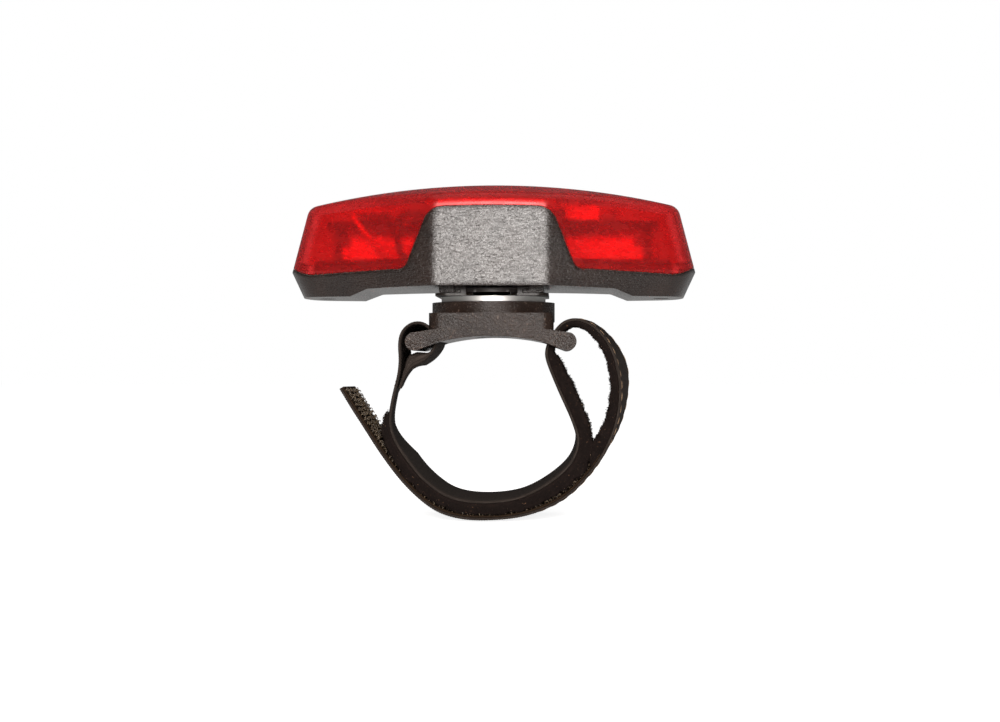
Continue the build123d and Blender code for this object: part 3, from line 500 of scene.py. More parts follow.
def moulded_material(
    name,
    colour,
    fleck,
    worn,
    roughness,
    cover=0.2,
    grain=3.0,
    depth=0.004 * MM,
    dust=0.08,
    strokes=0.0,
    shine=0.5,
    edge=0.12,
    swing=0.25,
):
    """Moulded plastic or rubber: a skin of fine flecks, edges rounded and rubbed, and dust.

    The flecks' cover, the dust and the strokes are shares. The grain is in bumps per mm, as
    deep as depth in metres, and swings the roughness. The edge is a radius in mm.
    """
    material, tree, shader = blank_material(name, IOR=1.5, Specular_IOR_Level=shine)
    skin = place_group(
        tree,
        "Moulded Grain",
        {
            "Colour": opaque(colour),
            "Fleck": opaque(fleck),
            "Cover": cover,
            "Grain per mm": grain,
            "Roughness": roughness,
            "Swing": swing,
        },
    )
    rubbed = place_group(
        tree,
        "Edge Wear",
        {"Colour": skin.outputs["Colour"], "Worn": opaque(worn), "Width mm": 0.18},
    )
    dusty = place_group(
        tree, "Settled Dust", {"Colour": rubbed.outputs["Colour"], "Amount": dust}
    )
    colour_skin(tree, shader, dusty.outputs["Colour"], skin.outputs["Roughness"])
    height = skin.outputs["Height"]
    if strokes:
        for turn in (38, -52):
            inputs = {
                "Vector": in_millimetres(tree),
                "Rotation": (0, math.radians(turn), 0),
                "Scale": (0.35, 1.0, 2.6),
            }
            slant = add_node(tree, "ShaderNodeMapping", inputs).outputs["Vector"]
            height = math_node(tree, "MULTIPLY_ADD", noise(tree, slant, 2.1, 2.0), strokes, height)
    raise_skin(tree, shader, height, depth, edge * MM)
    return material


def plate_rim(material, low, high, colour):
    """Bright, rougher plating on the part of a moulded skin between two heights in mm."""
    tree = material.node_tree
    shader = next(node for node in tree.nodes if node.type == "BSDF_PRINCIPLED")
    height = add_node(tree, "ShaderNodeSeparateXYZ", {0: in_millimetres(tree)}).outputs["Z"]
    inside = math_node(tree, "COMPARE", height, (low + high) / 2, (high - low) / 2)
    skin = shader.inputs["Base Color"].links[0].from_socket
    tree.links.new(mixed(tree, inside, skin, opaque(colour)), shader.inputs["Base Color"])
    tree.links.new(inside, shader.inputs["Metallic"])
    rough = shader.inputs["Roughness"].links[0].from_socket
    rougher = math_node(tree, "MULTIPLY_ADD", inside, 0.14, rough)
    tree.links.new(rougher, shader.inputs["Roughness"])


def hazy_lens_material(colour):
    """Red lens plastic: clear enough to show the battery, hazy all through.

    Lamp light goes straight through it, reddened, to the pieces inside.
    """
    material, tree, shader = blank_material(
        "Hazy Red Lens", IOR=1.49, Transmission_Weight=0.88, Specular_Tint=(0.9, 0.3, 0.3, 1)
    )
    through = add_node(tree, "ShaderNodeBsdfTransparent", {"Color": (0.62, 0.05, 0.06, 1)})
    shadow = add_node(tree, "ShaderNodeLightPath").outputs["Is Shadow Ray"]
    both = add_node(
        tree, "ShaderNodeMixShader", {0: shadow, 1: shader.outputs[0], 2: through.outputs[0]}
    )
    out = next(node for node in tree.nodes if node.type == "OUTPUT_MATERIAL")
    tree.links.new(both.outputs[0], out.inputs["Surface"])
    place = in_millimetres(tree)
    haze = noise(tree, place, 0.12, 2.0)
    deeper = opaque([0.86 * c for c in colour])
    deep = mixed(tree, ramp(tree, haze, 0.3, 0.7), opaque(colour), deeper)
    dusty = place_group(
        tree, "Settled Dust", {"Colour": deep, "Dust": (0.8, 0.25, 0.25, 1), "Amount": 0.06}
    )
    wipe = noise(tree, in_millimetres(tree, (0.4, 1.0, 1.0)), 0.9, 3.0)
    colour_skin(tree, shader, dusty.outputs["Colour"], ramp(tree, wipe, 0.3, 0.75, 0.22, 0.32))
    raise_skin(tree, shader, noise(tree, place, 0.5, 2.0), 0.004 * MM)
    return material


def metal_material(name, colour, roughness, stretch):
    """Brushed or plated metal, with fine drawn lines along one axis."""
    material, tree, shader = blank_material(name, Metallic=1.0)
    lines = noise(tree, in_millimetres(tree, stretch), 6.0, 3.0, 0.6)
    tarnish = noise(tree, in_millimetres(tree), 0.9, 2.0)
    dark = opaque([0.62 * c for c in colour])
    tone = mixed(tree, ramp(tree, tarnish, 0.35, 0.7), opaque(colour), dark)
    bright = opaque([min(1.0, 1.3 * c) for c in colour])
    worn = place_group(tree, "Edge Wear", {"Colour": tone, "Worn": bright, "Amount": 0.6})
    drawn = ramp(tree, lines, 0.2, 0.8, roughness - 0.08, roughness + 0.12)
    colour_skin(tree, shader, worn.outputs["Colour"], drawn)
    raise_skin(tree, shader, lines, 0.004 * MM)
    return material


def wrapper_material():
    """Crinkled foil wrapper of the battery."""
    material, tree, shader = blank_material("Cell Wrapper", IOR=1.5)
    place = in_millimetres(tree)
    crinkle = noise(tree, place, 0.55, 4.0, 0.55)
    creases = add_node(
        tree, "ShaderNodeTexVoronoi", {"Vector": place, "Scale": 0.35}, feature="DISTANCE_TO_EDGE"
    ).outputs["Distance"]
    folds = ramp(tree, creases, 0.0, 0.12)
    height = math_node(tree, "MULTIPLY_ADD", folds, 0.4, crinkle)
    tone = mixed(tree, ramp(tree, crinkle, 0.3, 0.7), (0.62, 0.63, 0.65, 1), (0.82, 0.83, 0.85, 1))
    colour_skin(tree, shader, tone, ramp(tree, crinkle, 0.3, 0.7, 0.25, 0.45))
    raise_skin(tree, shader, height, 0.06 * MM)
    return material


def foam_material():
    """Open foam, with pores darkened by painted shade."""
    material, tree, shader = blank_material("Foam", Roughness=0.95)
    place = in_millimetres(tree)
    cells = add_node(tree, "ShaderNodeTexVoronoi", {"Vector": place, "Scale": 3.2})
    pores = cells.outputs["Distance"]
    # The pores are painted darker than the cell walls around them: painted shade in the hollows
    tone = mixed(tree, ramp(tree, pores, 0.1, 0.5), (0.02, 0.02, 0.021, 1), (0.16, 0.16, 0.165, 1))
    colour_skin(tree, shader, tone)
    raise_skin(tree, shader, pores, 0.12 * MM)
    return material


def board_material():
    """Printed board: dark mask over copper runs, with plated holes."""
    material, tree, shader = blank_material("Printed Board", IOR=1.5)
    place = in_millimetres(tree)
    runs = add_node(
        tree,
        "ShaderNodeTexBrick",
        {
            "Vector": place,
            "Color1": (0.006, 0.030, 0.014, 1),
            "Color2": (0.008, 0.038, 0.018, 1),
            "Mortar": (0.016, 0.085, 0.036, 1),
            "Scale": 0.42,
            "Mortar Size": 0.035,
            "Brick Width": 0.9,
            "Row Height": 0.37,
        },
    )
    holes = add_node(
        tree, "ShaderNodeTexVoronoi", {"Vector": place, "Scale": 0.45, "Randomness": 0.8}
    ).outputs["Distance"]
    ring = ramp(tree, holes, 0.12, 0.10)
    tone = mixed(tree, ring, runs.outputs["Color"], (0.62, 0.42, 0.16, 1))
    tree.links.new(ring, shader.inputs["Metallic"])
    sheen = noise(tree, place, 2.5)
    colour_skin(tree, shader, tone, ramp(tree, sheen, 0.2, 0.8, 0.28, 0.42))
    raise_skin(tree, shader, runs.outputs["Fac"], 0.02 * MM)
    return material


def clear_material():
    """Clear moulded optic."""
    material, tree, shader = blank_material("Clear Optic", IOR=1.49, Transmission_Weight=0.95)
    place = in_millimetres(tree)
    tone = mixed(tree, noise(tree, place, 0.6), (0.95, 0.96, 0.97, 1), (0.88, 0.90, 0.92, 1))
    polish = noise(tree, place, 1.5, 3.0)
    colour_skin(tree, shader, tone, ramp(tree, polish, 0.3, 0.7, 0.03, 0.09))
    return material


def cloth_material(name, colour, fibre, cover, yarn, depth, roughness=0.9):
    """Woven, looped or hooked side of the strap: yarn in mm, stray fibres and their cover."""
    material, tree, shader = blank_material(name, Roughness=roughness, Specular_IOR_Level=0.12)
    band = place_group(
        tree,
        "Yarn",
        {"Colour": opaque(colour), "Fibre": opaque(fibre), "Cover": cover, "Yarn mm": yarn},
    )
    dusty = place_group(tree, "Settled Dust", {"Colour": band.outputs["Colour"], "Amount": 0.04})
    colour_skin(tree, shader, dusty.outputs["Colour"])
    raise_skin(tree, shader, band.outputs["Height"], depth)
    return material


def dress(names, material):
    """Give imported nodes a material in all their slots."""
    for name in names:
        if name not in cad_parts:
            raise RuntimeError(f"The packed model has no node named {name}.")
        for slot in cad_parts[name].material_slots:
            slot.material = material


# The strap's path and its meshes


class StrapPath:
    """The smooth line of the strap's smooth face, read from the route's spline."""

    def __init__(self, route):
        curve = bpy.data.curves.new("strap_route", "CURVE")
        curve.dimensions = "3D"
        curve.resolution_u = 24
        spline = curve.splines.new("NURBS")
        spline.points.add(len(route) - 1)
        for point, (x, z) in zip(spline.points, route):
            point.co = (x, 0.0, z, 1.0)
        spline.order_u = 3
        spline.use_endpoint_u = True
        holder = bpy.data.objects.new("strap_route", curve)
        bpy.context.scene.collection.objects.link(holder)
        bpy.context.view_layer.update()
        graph = bpy.context.evaluated_depsgraph_get()
        line = bpy.data.meshes.new_from_object(holder.evaluated_get(graph))
        places = np.array([(v.co.x, v.co.z) for v in line.vertices])
        bpy.data.objects.remove(holder)
        bpy.data.curves.remove(curve)
        bpy.data.meshes.remove(line)
        steps = np.linalg.norm(np.diff(places, axis=0), axis=1)
        keep = np.concatenate([[True], steps > 1e-8])
        self.places = places[keep]
        steps = np.linalg.norm(np.diff(self.places, axis=0), axis=1)
        self.along = np.concatenate([[0.0], np.cumsum(steps)])
        self.route = np.array(route)

    def at_run(self, run, share=0.5):
        """How far along the strap lies nearest to a place on one of the route's runs."""
        place = self.route[run] * (1 - share) + self.route[run + 1] * share
        points_per_run = len(self.places) / (len(self.route) - 1)
        middle = int((run + share) * points_per_run)
        first = max(0, middle - int(2 * points_per_run))
        nearby = self.places[first:middle + int(2 * points_per_run)]
        return self.along[first + np.argmin(np.linalg.norm(nearby - place, axis=1))]

    def point(self, along):
        """Places on the line, and the directions along it and towards the strap's rough side."""
        x = np.interp(along, self.along, self.places[:, 0])
        z = np.interp(along, self.along, self.places[:, 1])
        reach = 0.15 * MM
        ahead = [np.interp(along + reach, self.along, self.places[:, i]) for i in (0, 1)]
        behind = [np.interp(along - reach, self.along, self.places[:, i]) for i in (0, 1)]
        tangent = np.stack([ahead[0] - behind[0], ahead[1] - behind[1]], axis=-1)
        tangent /= np.linalg.norm(tangent, axis=-1, keepdims=True)
        rough = np.stack([tangent[..., 1], -tangent[..., 0]], axis=-1)
        return np.stack([x, z], axis=-1), tangent, rough

    def profile(self, along, knots):
        """Value at each place, from values given at places on the route's runs."""
        places = [self.at_run(int(run), run - int(run)) for run, _ in knots]
        return np.interp(along, places, [value for _, value in knots])

    def place(self, along, y, depth):
        """Points at a depth from the smooth face, with the strap's twist."""
        line, _, rough = self.point(along)
        sizes = bpy.context.scene.strap_sizes
        across = (y / sizes.half_width + 1) / 2
        twist = sizes.twist * MM * self.profile(along, STRAP_TWIST)
        lean = depth + twist * (across - self.profile(along, TWIST_PIVOT))
        flat = line + rough * lean[..., None]
        return np.stack([flat[..., 0], y, flat[..., 1]], axis=-1)


def wobble(along, y, scale, seed):
    """Smooth noise over the strap, from -1 to 1: nine waves, whose sum seldom passes four."""
    total = np.zeros(np.broadcast(along, y).shape)
    draw = np.random.default_rng(seed)
    for _ in range(9):
        turn = draw.uniform(0, 2 * math.pi)
        pitch = scale * draw.uniform(0.6, 1.7)
        phase = draw.uniform(0, 2 * math.pi)
        sway = along * math.cos(turn) + y * math.sin(turn)
        total += np.sin(2 * math.pi * sway / pitch + phase)
    return np.clip(total / 4.0, -1, 1)


def mesh_piece(name, points, faces, material, smooth=True):
    """Object from arrays of points and of faces with as many corners each."""
    mesh = bpy.data.meshes.new(name)
    points = np.asarray(points, dtype=np.float32).reshape(-1, 3)
    mesh.vertices.add(len(points))
    mesh.vertices.foreach_set("co", points.ravel())
    corners = np.concatenate([np.asarray(block).reshape(-1) for block in faces])
    sizes = np.concatenate([np.full(len(block), np.asarray(block).shape[1]) for block in faces])
    starts = np.concatenate([[0], np.cumsum(sizes)[:-1]])
    mesh.loops.add(len(corners))
    mesh.loops.foreach_set("vertex_index", corners.astype(np.int32))
    mesh.polygons.add(len(sizes))
    mesh.polygons.foreach_set("loop_start", starts.astype(np.int32))
    mesh.polygons.foreach_set("use_smooth", np.full(len(sizes), smooth))
    mesh.update(calc_edges=True)
    mesh.validate()
    mesh.materials.append(material)
    piece = bpy.data.objects.new(name, mesh)
    bpy.context.scene.collection.objects.link(piece)
    return piece


def ring_faces(rows, around):
    """Quads of a tube of rows, each closed round, and its two end faces."""
    row = np.arange(rows - 1)[:, None] * around
    step = np.arange(around)[None, :]
    nxt = (step + 1) % around
    quads = np.stack([row + step, row + nxt, row + around + nxt, row + around + step], axis=-1)
    ends = np.stack([np.arange(around)[::-1], np.arange(around) + (rows - 1) * around])
    return quads.reshape(-1, 4), ends


def band_points(path, start, end, pitch, columns, near, far, edge):
    """Rows of a closed band whose two faces lie at the depths near(along, y) and far(along, y).

    Its sides thin out to a quarter, over a breadth of edge.
    """
    half = bpy.context.scene.strap_sizes.half_width
    rows = max(2, int(round((end - start) / pitch)) + 1)
    along = np.linspace(start, end, rows)[:, None]
    y = np.linspace(-half, half, columns)[None, :]
    s = np.broadcast_to(along, (rows, columns))
    w = np.broadcast_to(y, (rows, columns))
    top, low = near(s, w), far(s, w)
    rounded = np.sqrt(np.clip(1 - ((np.abs(w) - half + edge) / edge).clip(0, 1) ** 2, 0, 1))
    middle = (top + low) / 2
    top = middle + (top - middle) * (0.25 + 0.75 * rounded)
    low = middle + (low - middle) * (0.25 + 0.75 * rounded)
    upper = path.place(s, w, top)
    lower = path.place(s, w, low)[:, ::-1]
    return np.concatenate([upper, lower], axis=1)


def tube_points(centres, radii, sides, up):
    """Rings round lines of centres: (count, steps, 3) to (count, steps, sides, 3)."""
    ahead = np.gradient(centres, axis=1)
    ahead /= np.linalg.norm(ahead, axis=-1, keepdims=True) + 1e-12
    first = np.cross(ahead, up[:, None, :])
    first /= np.linalg.norm(first, axis=-1, keepdims=True) + 1e-12
    second = np.cross(ahead, first)
    angle = np.arange(sides) * 2 * math.pi / sides
    ring = first[:, :, None, :] * np.cos(angle)[:, None]
    ring = ring + second[:, :, None, :] * np.sin(angle)[:, None]
    return centres[:, :, None, :] + ring * radii[..., None, None]


def tube_faces(count, steps, sides):
    """Quads and end faces of many tubes whose points follow each other."""
    quads, ends = ring_faces(steps, sides)
    shift = (np.arange(count) * steps * sides)[:, None, None]
    return (quads[None] + shift).reshape(-1, 4), (ends[None] + shift).reshape(-1, sides)


def under_band(along, y):
    """Depth of a layer's hidden face, let a little into the webbing."""
    return np.full(along.shape, bpy.context.scene.strap_sizes.webbing_thick - LAYER_SINK)


def band_piece(name, path, start, end, pitch, columns, near, far, edge, material):
    """Object of a closed band along the strap."""
    points = band_points(path, start, end, pitch, columns, near, far, edge)
    quads, ends = ring_faces(len(points), 2 * columns)
    return mesh_piece(name, points, [quads, ends], material)


def thread_piece(name, centres, radii, sides, up, material):
    """Object of many threads, one round each line of centres."""
    count, steps = centres.shape[:2]
    rings = tube_points(centres, radii, sides, up)
    return mesh_piece(name, rings, tube_faces(count, steps, sides), material)


def ride_strap(piece, node):
    """The piece stands for a node of the strap and rides with the bracket."""
    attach(piece, "bracket")
    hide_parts(node)


# Operators, one for each piece or group of like pieces


class HELMETLIGHT_OT_lens(bpy.types.Operator):
    """Give the lens its hazy red plastic"""

    bl_idname = "helmet_light.lens"
    bl_label = "Dress Lens"

    def execute(self, context):
        dress(["lens_cover"], hazy_lens_material(context.scene.lamp_colours.lens))
        return {"FINISHED"}


class HELMETLIGHT_OT_housing(bpy.types.Operator):
    """Give the rear housing its grained plastic"""

    bl_idname = "helmet_light.housing"
    bl_label = "Dress Housing"

    def execute(self, context):
        plastic = moulded_material(
            "Housing Plastic",
            context.scene.lamp_colours.housing,
            fleck=(0.024, 0.016, 0.012),
            cover=0.35,
            roughness=0.27,
            depth=0.05 * MM,
            worn=(0.30, 0.25, 0.22),
            dust=0.03,
            strokes=0.9,
            shine=0.52,
            edge=0.9,
            swing=0.35,
        )
        dress(["rear_housing"], plastic)
        return {"FINISHED"}


class HELMETLIGHT_OT_rubber(bpy.types.Operator):
    """Give the power button, the port's cover and the seal their rubber"""

    bl_idname = "helmet_light.rubber"
    bl_label = "Dress Rubber Parts"

    def execute(self, context):
        rubber = moulded_material(
            "Soft Rubber",
            (0.016, 0.016, 0.017),
            fleck=(0.04, 0.04, 0.04),
            cover=0.3,
            grain=7.0,
            roughness=0.62,
            depth=0.006 * MM,
            worn=(0.05, 0.05, 0.05),
        )
        dress(["power_button", "port_cover", "lens_seal"], rubber)
        return {"FINISHED"}


class HELMETLIGHT_OT_bracket(bpy.types.Operator):
    """Give the saddle bracket its coarse grained plastic"""

    bl_idname = "helmet_light.bracket"
    bl_label = "Dress Bracket"

    def execute(self, context):
        plastic = moulded_material(
            "Bracket Plastic",
            context.scene.lamp_colours.bracket,
            fleck=(0.085, 0.058, 0.045),
            cover=0.40,
            grain=2.8,
            roughness=0.24,
            depth=0.12 * MM,
            worn=(0.06, 0.045, 0.04),
            shine=0.18,
        )
        dress(["saddle_bracket"], plastic)
        return {"FINISHED"}


class HELMETLIGHT_OT_shoe(bpy.types.Operator):
    """Give the slide shoe and its latch smooth plastic, and the shoe's disc a bright rim"""

    bl_idname = "helmet_light.shoe"
    bl_label = "Dress Shoe and Latch"

    def execute(self, context):
        plastic = moulded_material(
            "Smooth Plastic",
            (0.014, 0.0095, 0.0075),
            fleck=(0.04, 0.03, 0.025),
            grain=5.5,
            roughness=0.33,
            worn=(0.06, 0.05, 0.04),
            shine=0.3,
        )
        dress(["release_latch"], plastic)
        rimmed = plastic.copy()
        rimmed.name = "Smooth Plastic with Plated Rim"
        plate_rim(rimmed, RIM_LOW, RIM_HIGH, PLATED_STEEL)
        dress(["slide_shoe"], rimmed)
        return {"FINISHED"}


class HELMETLIGHT_OT_fasteners(bpy.types.Operator):
    """Give the screws, the washer, the spring and the charge port their metal"""

    bl_idname = "helmet_light.fasteners"
    bl_label = "Dress Metal Parts"

    def execute(self, context):
        steel = metal_material("Plated Steel", PLATED_STEEL, 0.28, (1.0, 1.0, 0.2))
        dress(["lens_screws", "board_screws", "swivel_screw", "swivel_washer"], steel)
        dress(["detent_spring", "charge_port"], steel)
        gilt = metal_material("Gilt Contacts", (0.86, 0.62, 0.28), 0.22, (1.0, 0.2, 1.0))
        dress(["charge_port_contacts"], gilt)
        return {"FINISHED"}


class HELMETLIGHT_OT_battery(bpy.types.Operator):
    """Give the battery, its tray and its foam their finishes"""

    bl_idname = "helmet_light.battery"
    bl_label = "Dress Battery"

    def execute(self, context):
        dress(["battery_cell"], wrapper_material())
        dress(["battery_foam"], foam_material())
        tray = moulded_material(
            "Tray Plastic",
            (0.018, 0.018, 0.019),
            fleck=(0.04, 0.04, 0.04),
            roughness=0.5,
            depth=0.01 * MM,
            worn=(0.06, 0.06, 0.06),
        )
        dress(["battery_tray"], tray)
        return {"FINISHED"}


class HELMETLIGHT_OT_electronics(bpy.types.Operator):
    """Give the boards, what is soldered to them and the leads their finishes"""

    bl_idname = "helmet_light.electronics"
    bl_label = "Dress Electronics"

    def execute(self, context):
        dress(["circuit_board", "protection_board"], board_material())
        chip = moulded_material(
            "Chip Resin",
            (0.012, 0.012, 0.013),
            fleck=(0.03, 0.03, 0.03),
            cover=0.25,
            grain=9.0,
            roughness=0.55,
            worn=(0.05, 0.05, 0.05),
        )
        dress(["control_chip", "board_parts", "tact_switch", "switch_plunger"], chip)
        phosphor = moulded_material(
            "Phosphor Resin",
            (0.78, 0.58, 0.10),
            fleck=(0.90, 0.78, 0.30),
            cover=0.5,
            roughness=0.35,
            worn=(0.9, 0.85, 0.7),
        )
        dress(["leds"], phosphor)
        dress(["led_optics"], clear_material())
        nylon = moulded_material(
            "Pale Nylon",
            (0.72, 0.70, 0.64),
            fleck=(0.80, 0.78, 0.73),
            cover=0.3,
            grain=4.0,
            roughness=0.42,
            worn=(0.85, 0.84, 0.8),
        )
        dress(["battery_connector"], nylon)
        leads = {
            "battery_lead_red": (0.55, 0.02, 0.015),
            "battery_lead_black": (0.014, 0.014, 0.015),
        }
        for node, colour in leads.items():
            pale = [min(1.0, 1.6 * c) for c in colour]
            jacket = moulded_material(
                node + "_jacket",
                colour,
                fleck=pale,
                roughness=0.38,
                worn=pale,
            )
            dress([node], jacket)
        return {"FINISHED"}


class HELMETLIGHT_OT_webbing(bpy.types.Operator):
    """Weave the strap's band, with its ribs"""

    bl_idname = "helmet_light.webbing"
    bl_label = "Weave Webbing"

    def execute(self, context):
        sizes = context.scene.strap_sizes
        colour = context.scene.lamp_colours.webbing
        path = StrapPath(STRAP_ROUTE)
        rib, height, thick = sizes.rib_pitch, sizes.rib_height, sizes.webbing_thick

        def ribs(along, y):
            slant = along + 0.12 * y + 0.06 * MM * wobble(along, y, 6 * MM, SEED)
            weave = np.cos(2 * math.pi * slant / rib)
            warp = np.cos(2 * math.pi * y / (2.2 * rib))
            return height * (0.5 + 0.5 * weave * (0.7 + 0.3 * warp))

        def near(along, y):
            drape = 0.03 * MM * wobble(along, y, 9 * MM, SEED + 1)
            return ribs(along, y) + drape - MM * path.profile(along, HEM_FILL)

        def far(along, y):
            return thick - 0.5 * ribs(along, y)

        cloth = cloth_material("Woven Band", colour, (0.10, 0.08, 0.07), 0.15, 0.5, 0.02 * MM)
        start, end = path.along[0], path.along[-1]
        step, columns = rib / 4.2, 26
        piece = band_piece(
            "webbing_band", path, start, end, step, columns, near, far, 0.5 * MM, cloth
        )
        ride_strap(piece, "strap_webbing")
        return {"FINISHED"}


class HELMETLIGHT_OT_pile(bpy.types.Operator):
    """Grow the loop pile: its matted ground and its loops"""

    bl_idname = "helmet_light.pile"
    bl_label = "Grow Loop Pile"

    def execute(self, context):
        sizes = context.scene.strap_sizes
        colour = context.scene.lamp_colours.pile
        path = StrapPath(STRAP_ROUTE)
        thick = sizes.webbing_thick
        start, end = path.at_run(9), path.at_run(26, 0.95)
        ramp_length = 1.2 * MM

        def clumps(along, y):
            coarse = wobble(along, y, 2.2 * MM, SEED + 2)
            return 0.6 * coarse + 0.4 * wobble(along, y, 0.9 * MM, SEED + 3)

        def far(along, y):
            rise = np.clip(np.minimum(along - start, end - along) / ramp_length, 0.1, 1)
            rise = rise * path.profile(along, PILE_FULLNESS)
            return thick + rise * (sizes.pile_low + 0.30 * MM * clumps(along, y))

        cloth = cloth_material(
            "Matted Pile", colour, (0.13, 0.07, 0.04), 0.22, 0.7, 0.12 * MM, 0.95
        )
        step, columns = 0.26 * MM, 70
        ground = band_piece(
            "pile_ground", path, start, end, step, columns, under_band, far, 0.3 * MM, cloth
        )
        ride_strap(ground, "strap_loop_pile")

        draw = np.random.default_rng(SEED)
        count = sizes.loop_count
        along = draw.uniform(start + 0.3 * MM, end - 0.3 * MM, count)
        y = draw.uniform(-1, 1, count) * (sizes.half_width - 0.05 * MM)
        clump = clumps(along, y)
        height = sizes.pile_high * draw.uniform(0.72, 1.0, count) * (0.84 + 0.16 * clump)
        height = height * path.profile(along, PILE_FULLNESS)
        turn = draw.uniform(0, 2 * math.pi, count)
        spread = draw.uniform(0.12, 0.3, count) * MM
        lean = draw.normal(0, 0.16, (count, 2)) * MM
        steps, sides = 6, 3
        sweep = np.linspace(0, math.pi, steps)[None, :]
        rise = np.sin(sweep)
        out = np.cos(sweep)
        s = along[:, None] + out * spread[:, None] * np.cos(turn)[:, None] + lean[:, :1] * rise
        w = y[:, None] + out * spread[:, None] * np.sin(turn)[:, None] + lean[:, 1:] * rise
        root = 0.45 * height[:, None]
        depth = thick + root + (height[:, None] - root) * rise
        centres = path.place(s, w, depth)
        _, tangent, _ = path.point(along)
        up = np.stack([tangent[:, 0], np.full(count, 0.35), tangent[:, 1]], axis=-1)
        radii = np.full((count, steps), sizes.loop_radius)
        # The loops take a paler copy of the pile's colour and pale brown fibres: stray fibres of
        # the yarn together with painted highlights on the loops
        paler = [1.5 * c for c in colour]
        yarn = cloth_material("Loop Thread", paler, (0.36, 0.24, 0.16), 0.30, 0.9, 0.02 * MM, 0.8)
        loops = thread_piece("pile_loops", centres, radii, sides, up, yarn)
        ride_strap(loops, "strap_loop_pile")
        return {"FINISHED"}


class HELMETLIGHT_OT_hooks(bpy.types.Operator):
    """Set the hook tape: its ground and its hooks"""

    bl_idname = "helmet_light.hooks"
    bl_label = "Set Hook Tape"

    def execute(self, context):
        sizes = context.scene.strap_sizes
        colour = context.scene.lamp_colours.hook
        path = StrapPath(STRAP_ROUTE)
        thick = sizes.webbing_thick
        start, end = path.at_run(26), path.along[-1]

        def far(along, y):
            lengthwise = np.cos(2 * math.pi * along / (0.9 * sizes.rib_pitch))
            weave = lengthwise * np.cos(2 * math.pi * y / sizes.hook_pitch)
            return thick + 0.26 * MM + 0.04 * MM * weave

        # The tape's tan fibres are partly stray fibres and partly painted glints of the hooks
        tape = cloth_material("Hook Tape", colour, (0.20, 0.13, 0.07), 0.16, 0.47, 0.04 * MM, 0.8)
        step, columns = 0.2 * MM, 42
        ground = band_piece(
            "hook_ground", path, start, end, step, columns, under_band, far, 0.25 * MM, tape
        )
        ride_strap(ground, "strap_hook_tape")

        # Run, rise and wire of one hook from foot to tip
        out = np.array([0.0, 0.0, 0.06, 0.2, 0.34, 0.4]) * sizes.hook_pitch
        rise = np.array([0.0, 0.5, 0.82, 1.0, 0.9, 0.66]) * sizes.hook_height
        taper = np.array([1.25, 1.0, 1.0, 0.95, 0.85, 0.6])

        draw = np.random.default_rng(SEED + 5)
        margin = sizes.hook_pitch / 2
        rows = np.arange(start + margin, end - margin, sizes.hook_pitch)
        inside = sizes.half_width - 0.5 * MM
        column_pitch = sizes.hook_pitch * 0.9
        along, y = np.meshgrid(rows, np.arange(-inside, inside, column_pitch), indexing="ij")
        along, y = along.ravel(), y.ravel()
        count, sides = len(along), 5
        along = along + draw.normal(0, 0.16, count) * MM
        y = y + draw.normal(0, 0.13, count) * MM
        column = np.round((y + inside) / column_pitch).astype(int)
        way = np.where(column % 2 == 0, 1.0, -1.0)
        tilt = draw.normal(0, 0.3, count)
        s = along[:, None] + way[:, None] * out[None] * np.cos(tilt)[:, None]
        w = y[:, None] + out[None] * np.sin(tilt)[:, None]
        stand = np.broadcast_to(rise[None], s.shape) * draw.uniform(0.85, 1.1, (count, 1))
        centres = path.place(s, w, thick + 0.2 * MM + stand)
        radii = sizes.hook_radius * np.broadcast_to(taper, s.shape)
        up = np.tile(np.array([[0.0, 1.0, 0.0]]), (count, 1))
        # The hooks' tan flecks are partly the nylon's own fleck and partly painted glints on the
        # hooks
        wire = moulded_material(
            "Hook Nylon",
            colour,
            fleck=(0.30, 0.19, 0.09),
            cover=0.14,
            grain=1.1,
            roughness=0.45,
            worn=(0.4, 0.3, 0.18),
        )
        hooks = thread_piece("hook_wires", centres, radii, sides, up, wire)
        ride_strap(hooks, "strap_hook_tape")
        return {"FINISHED"}


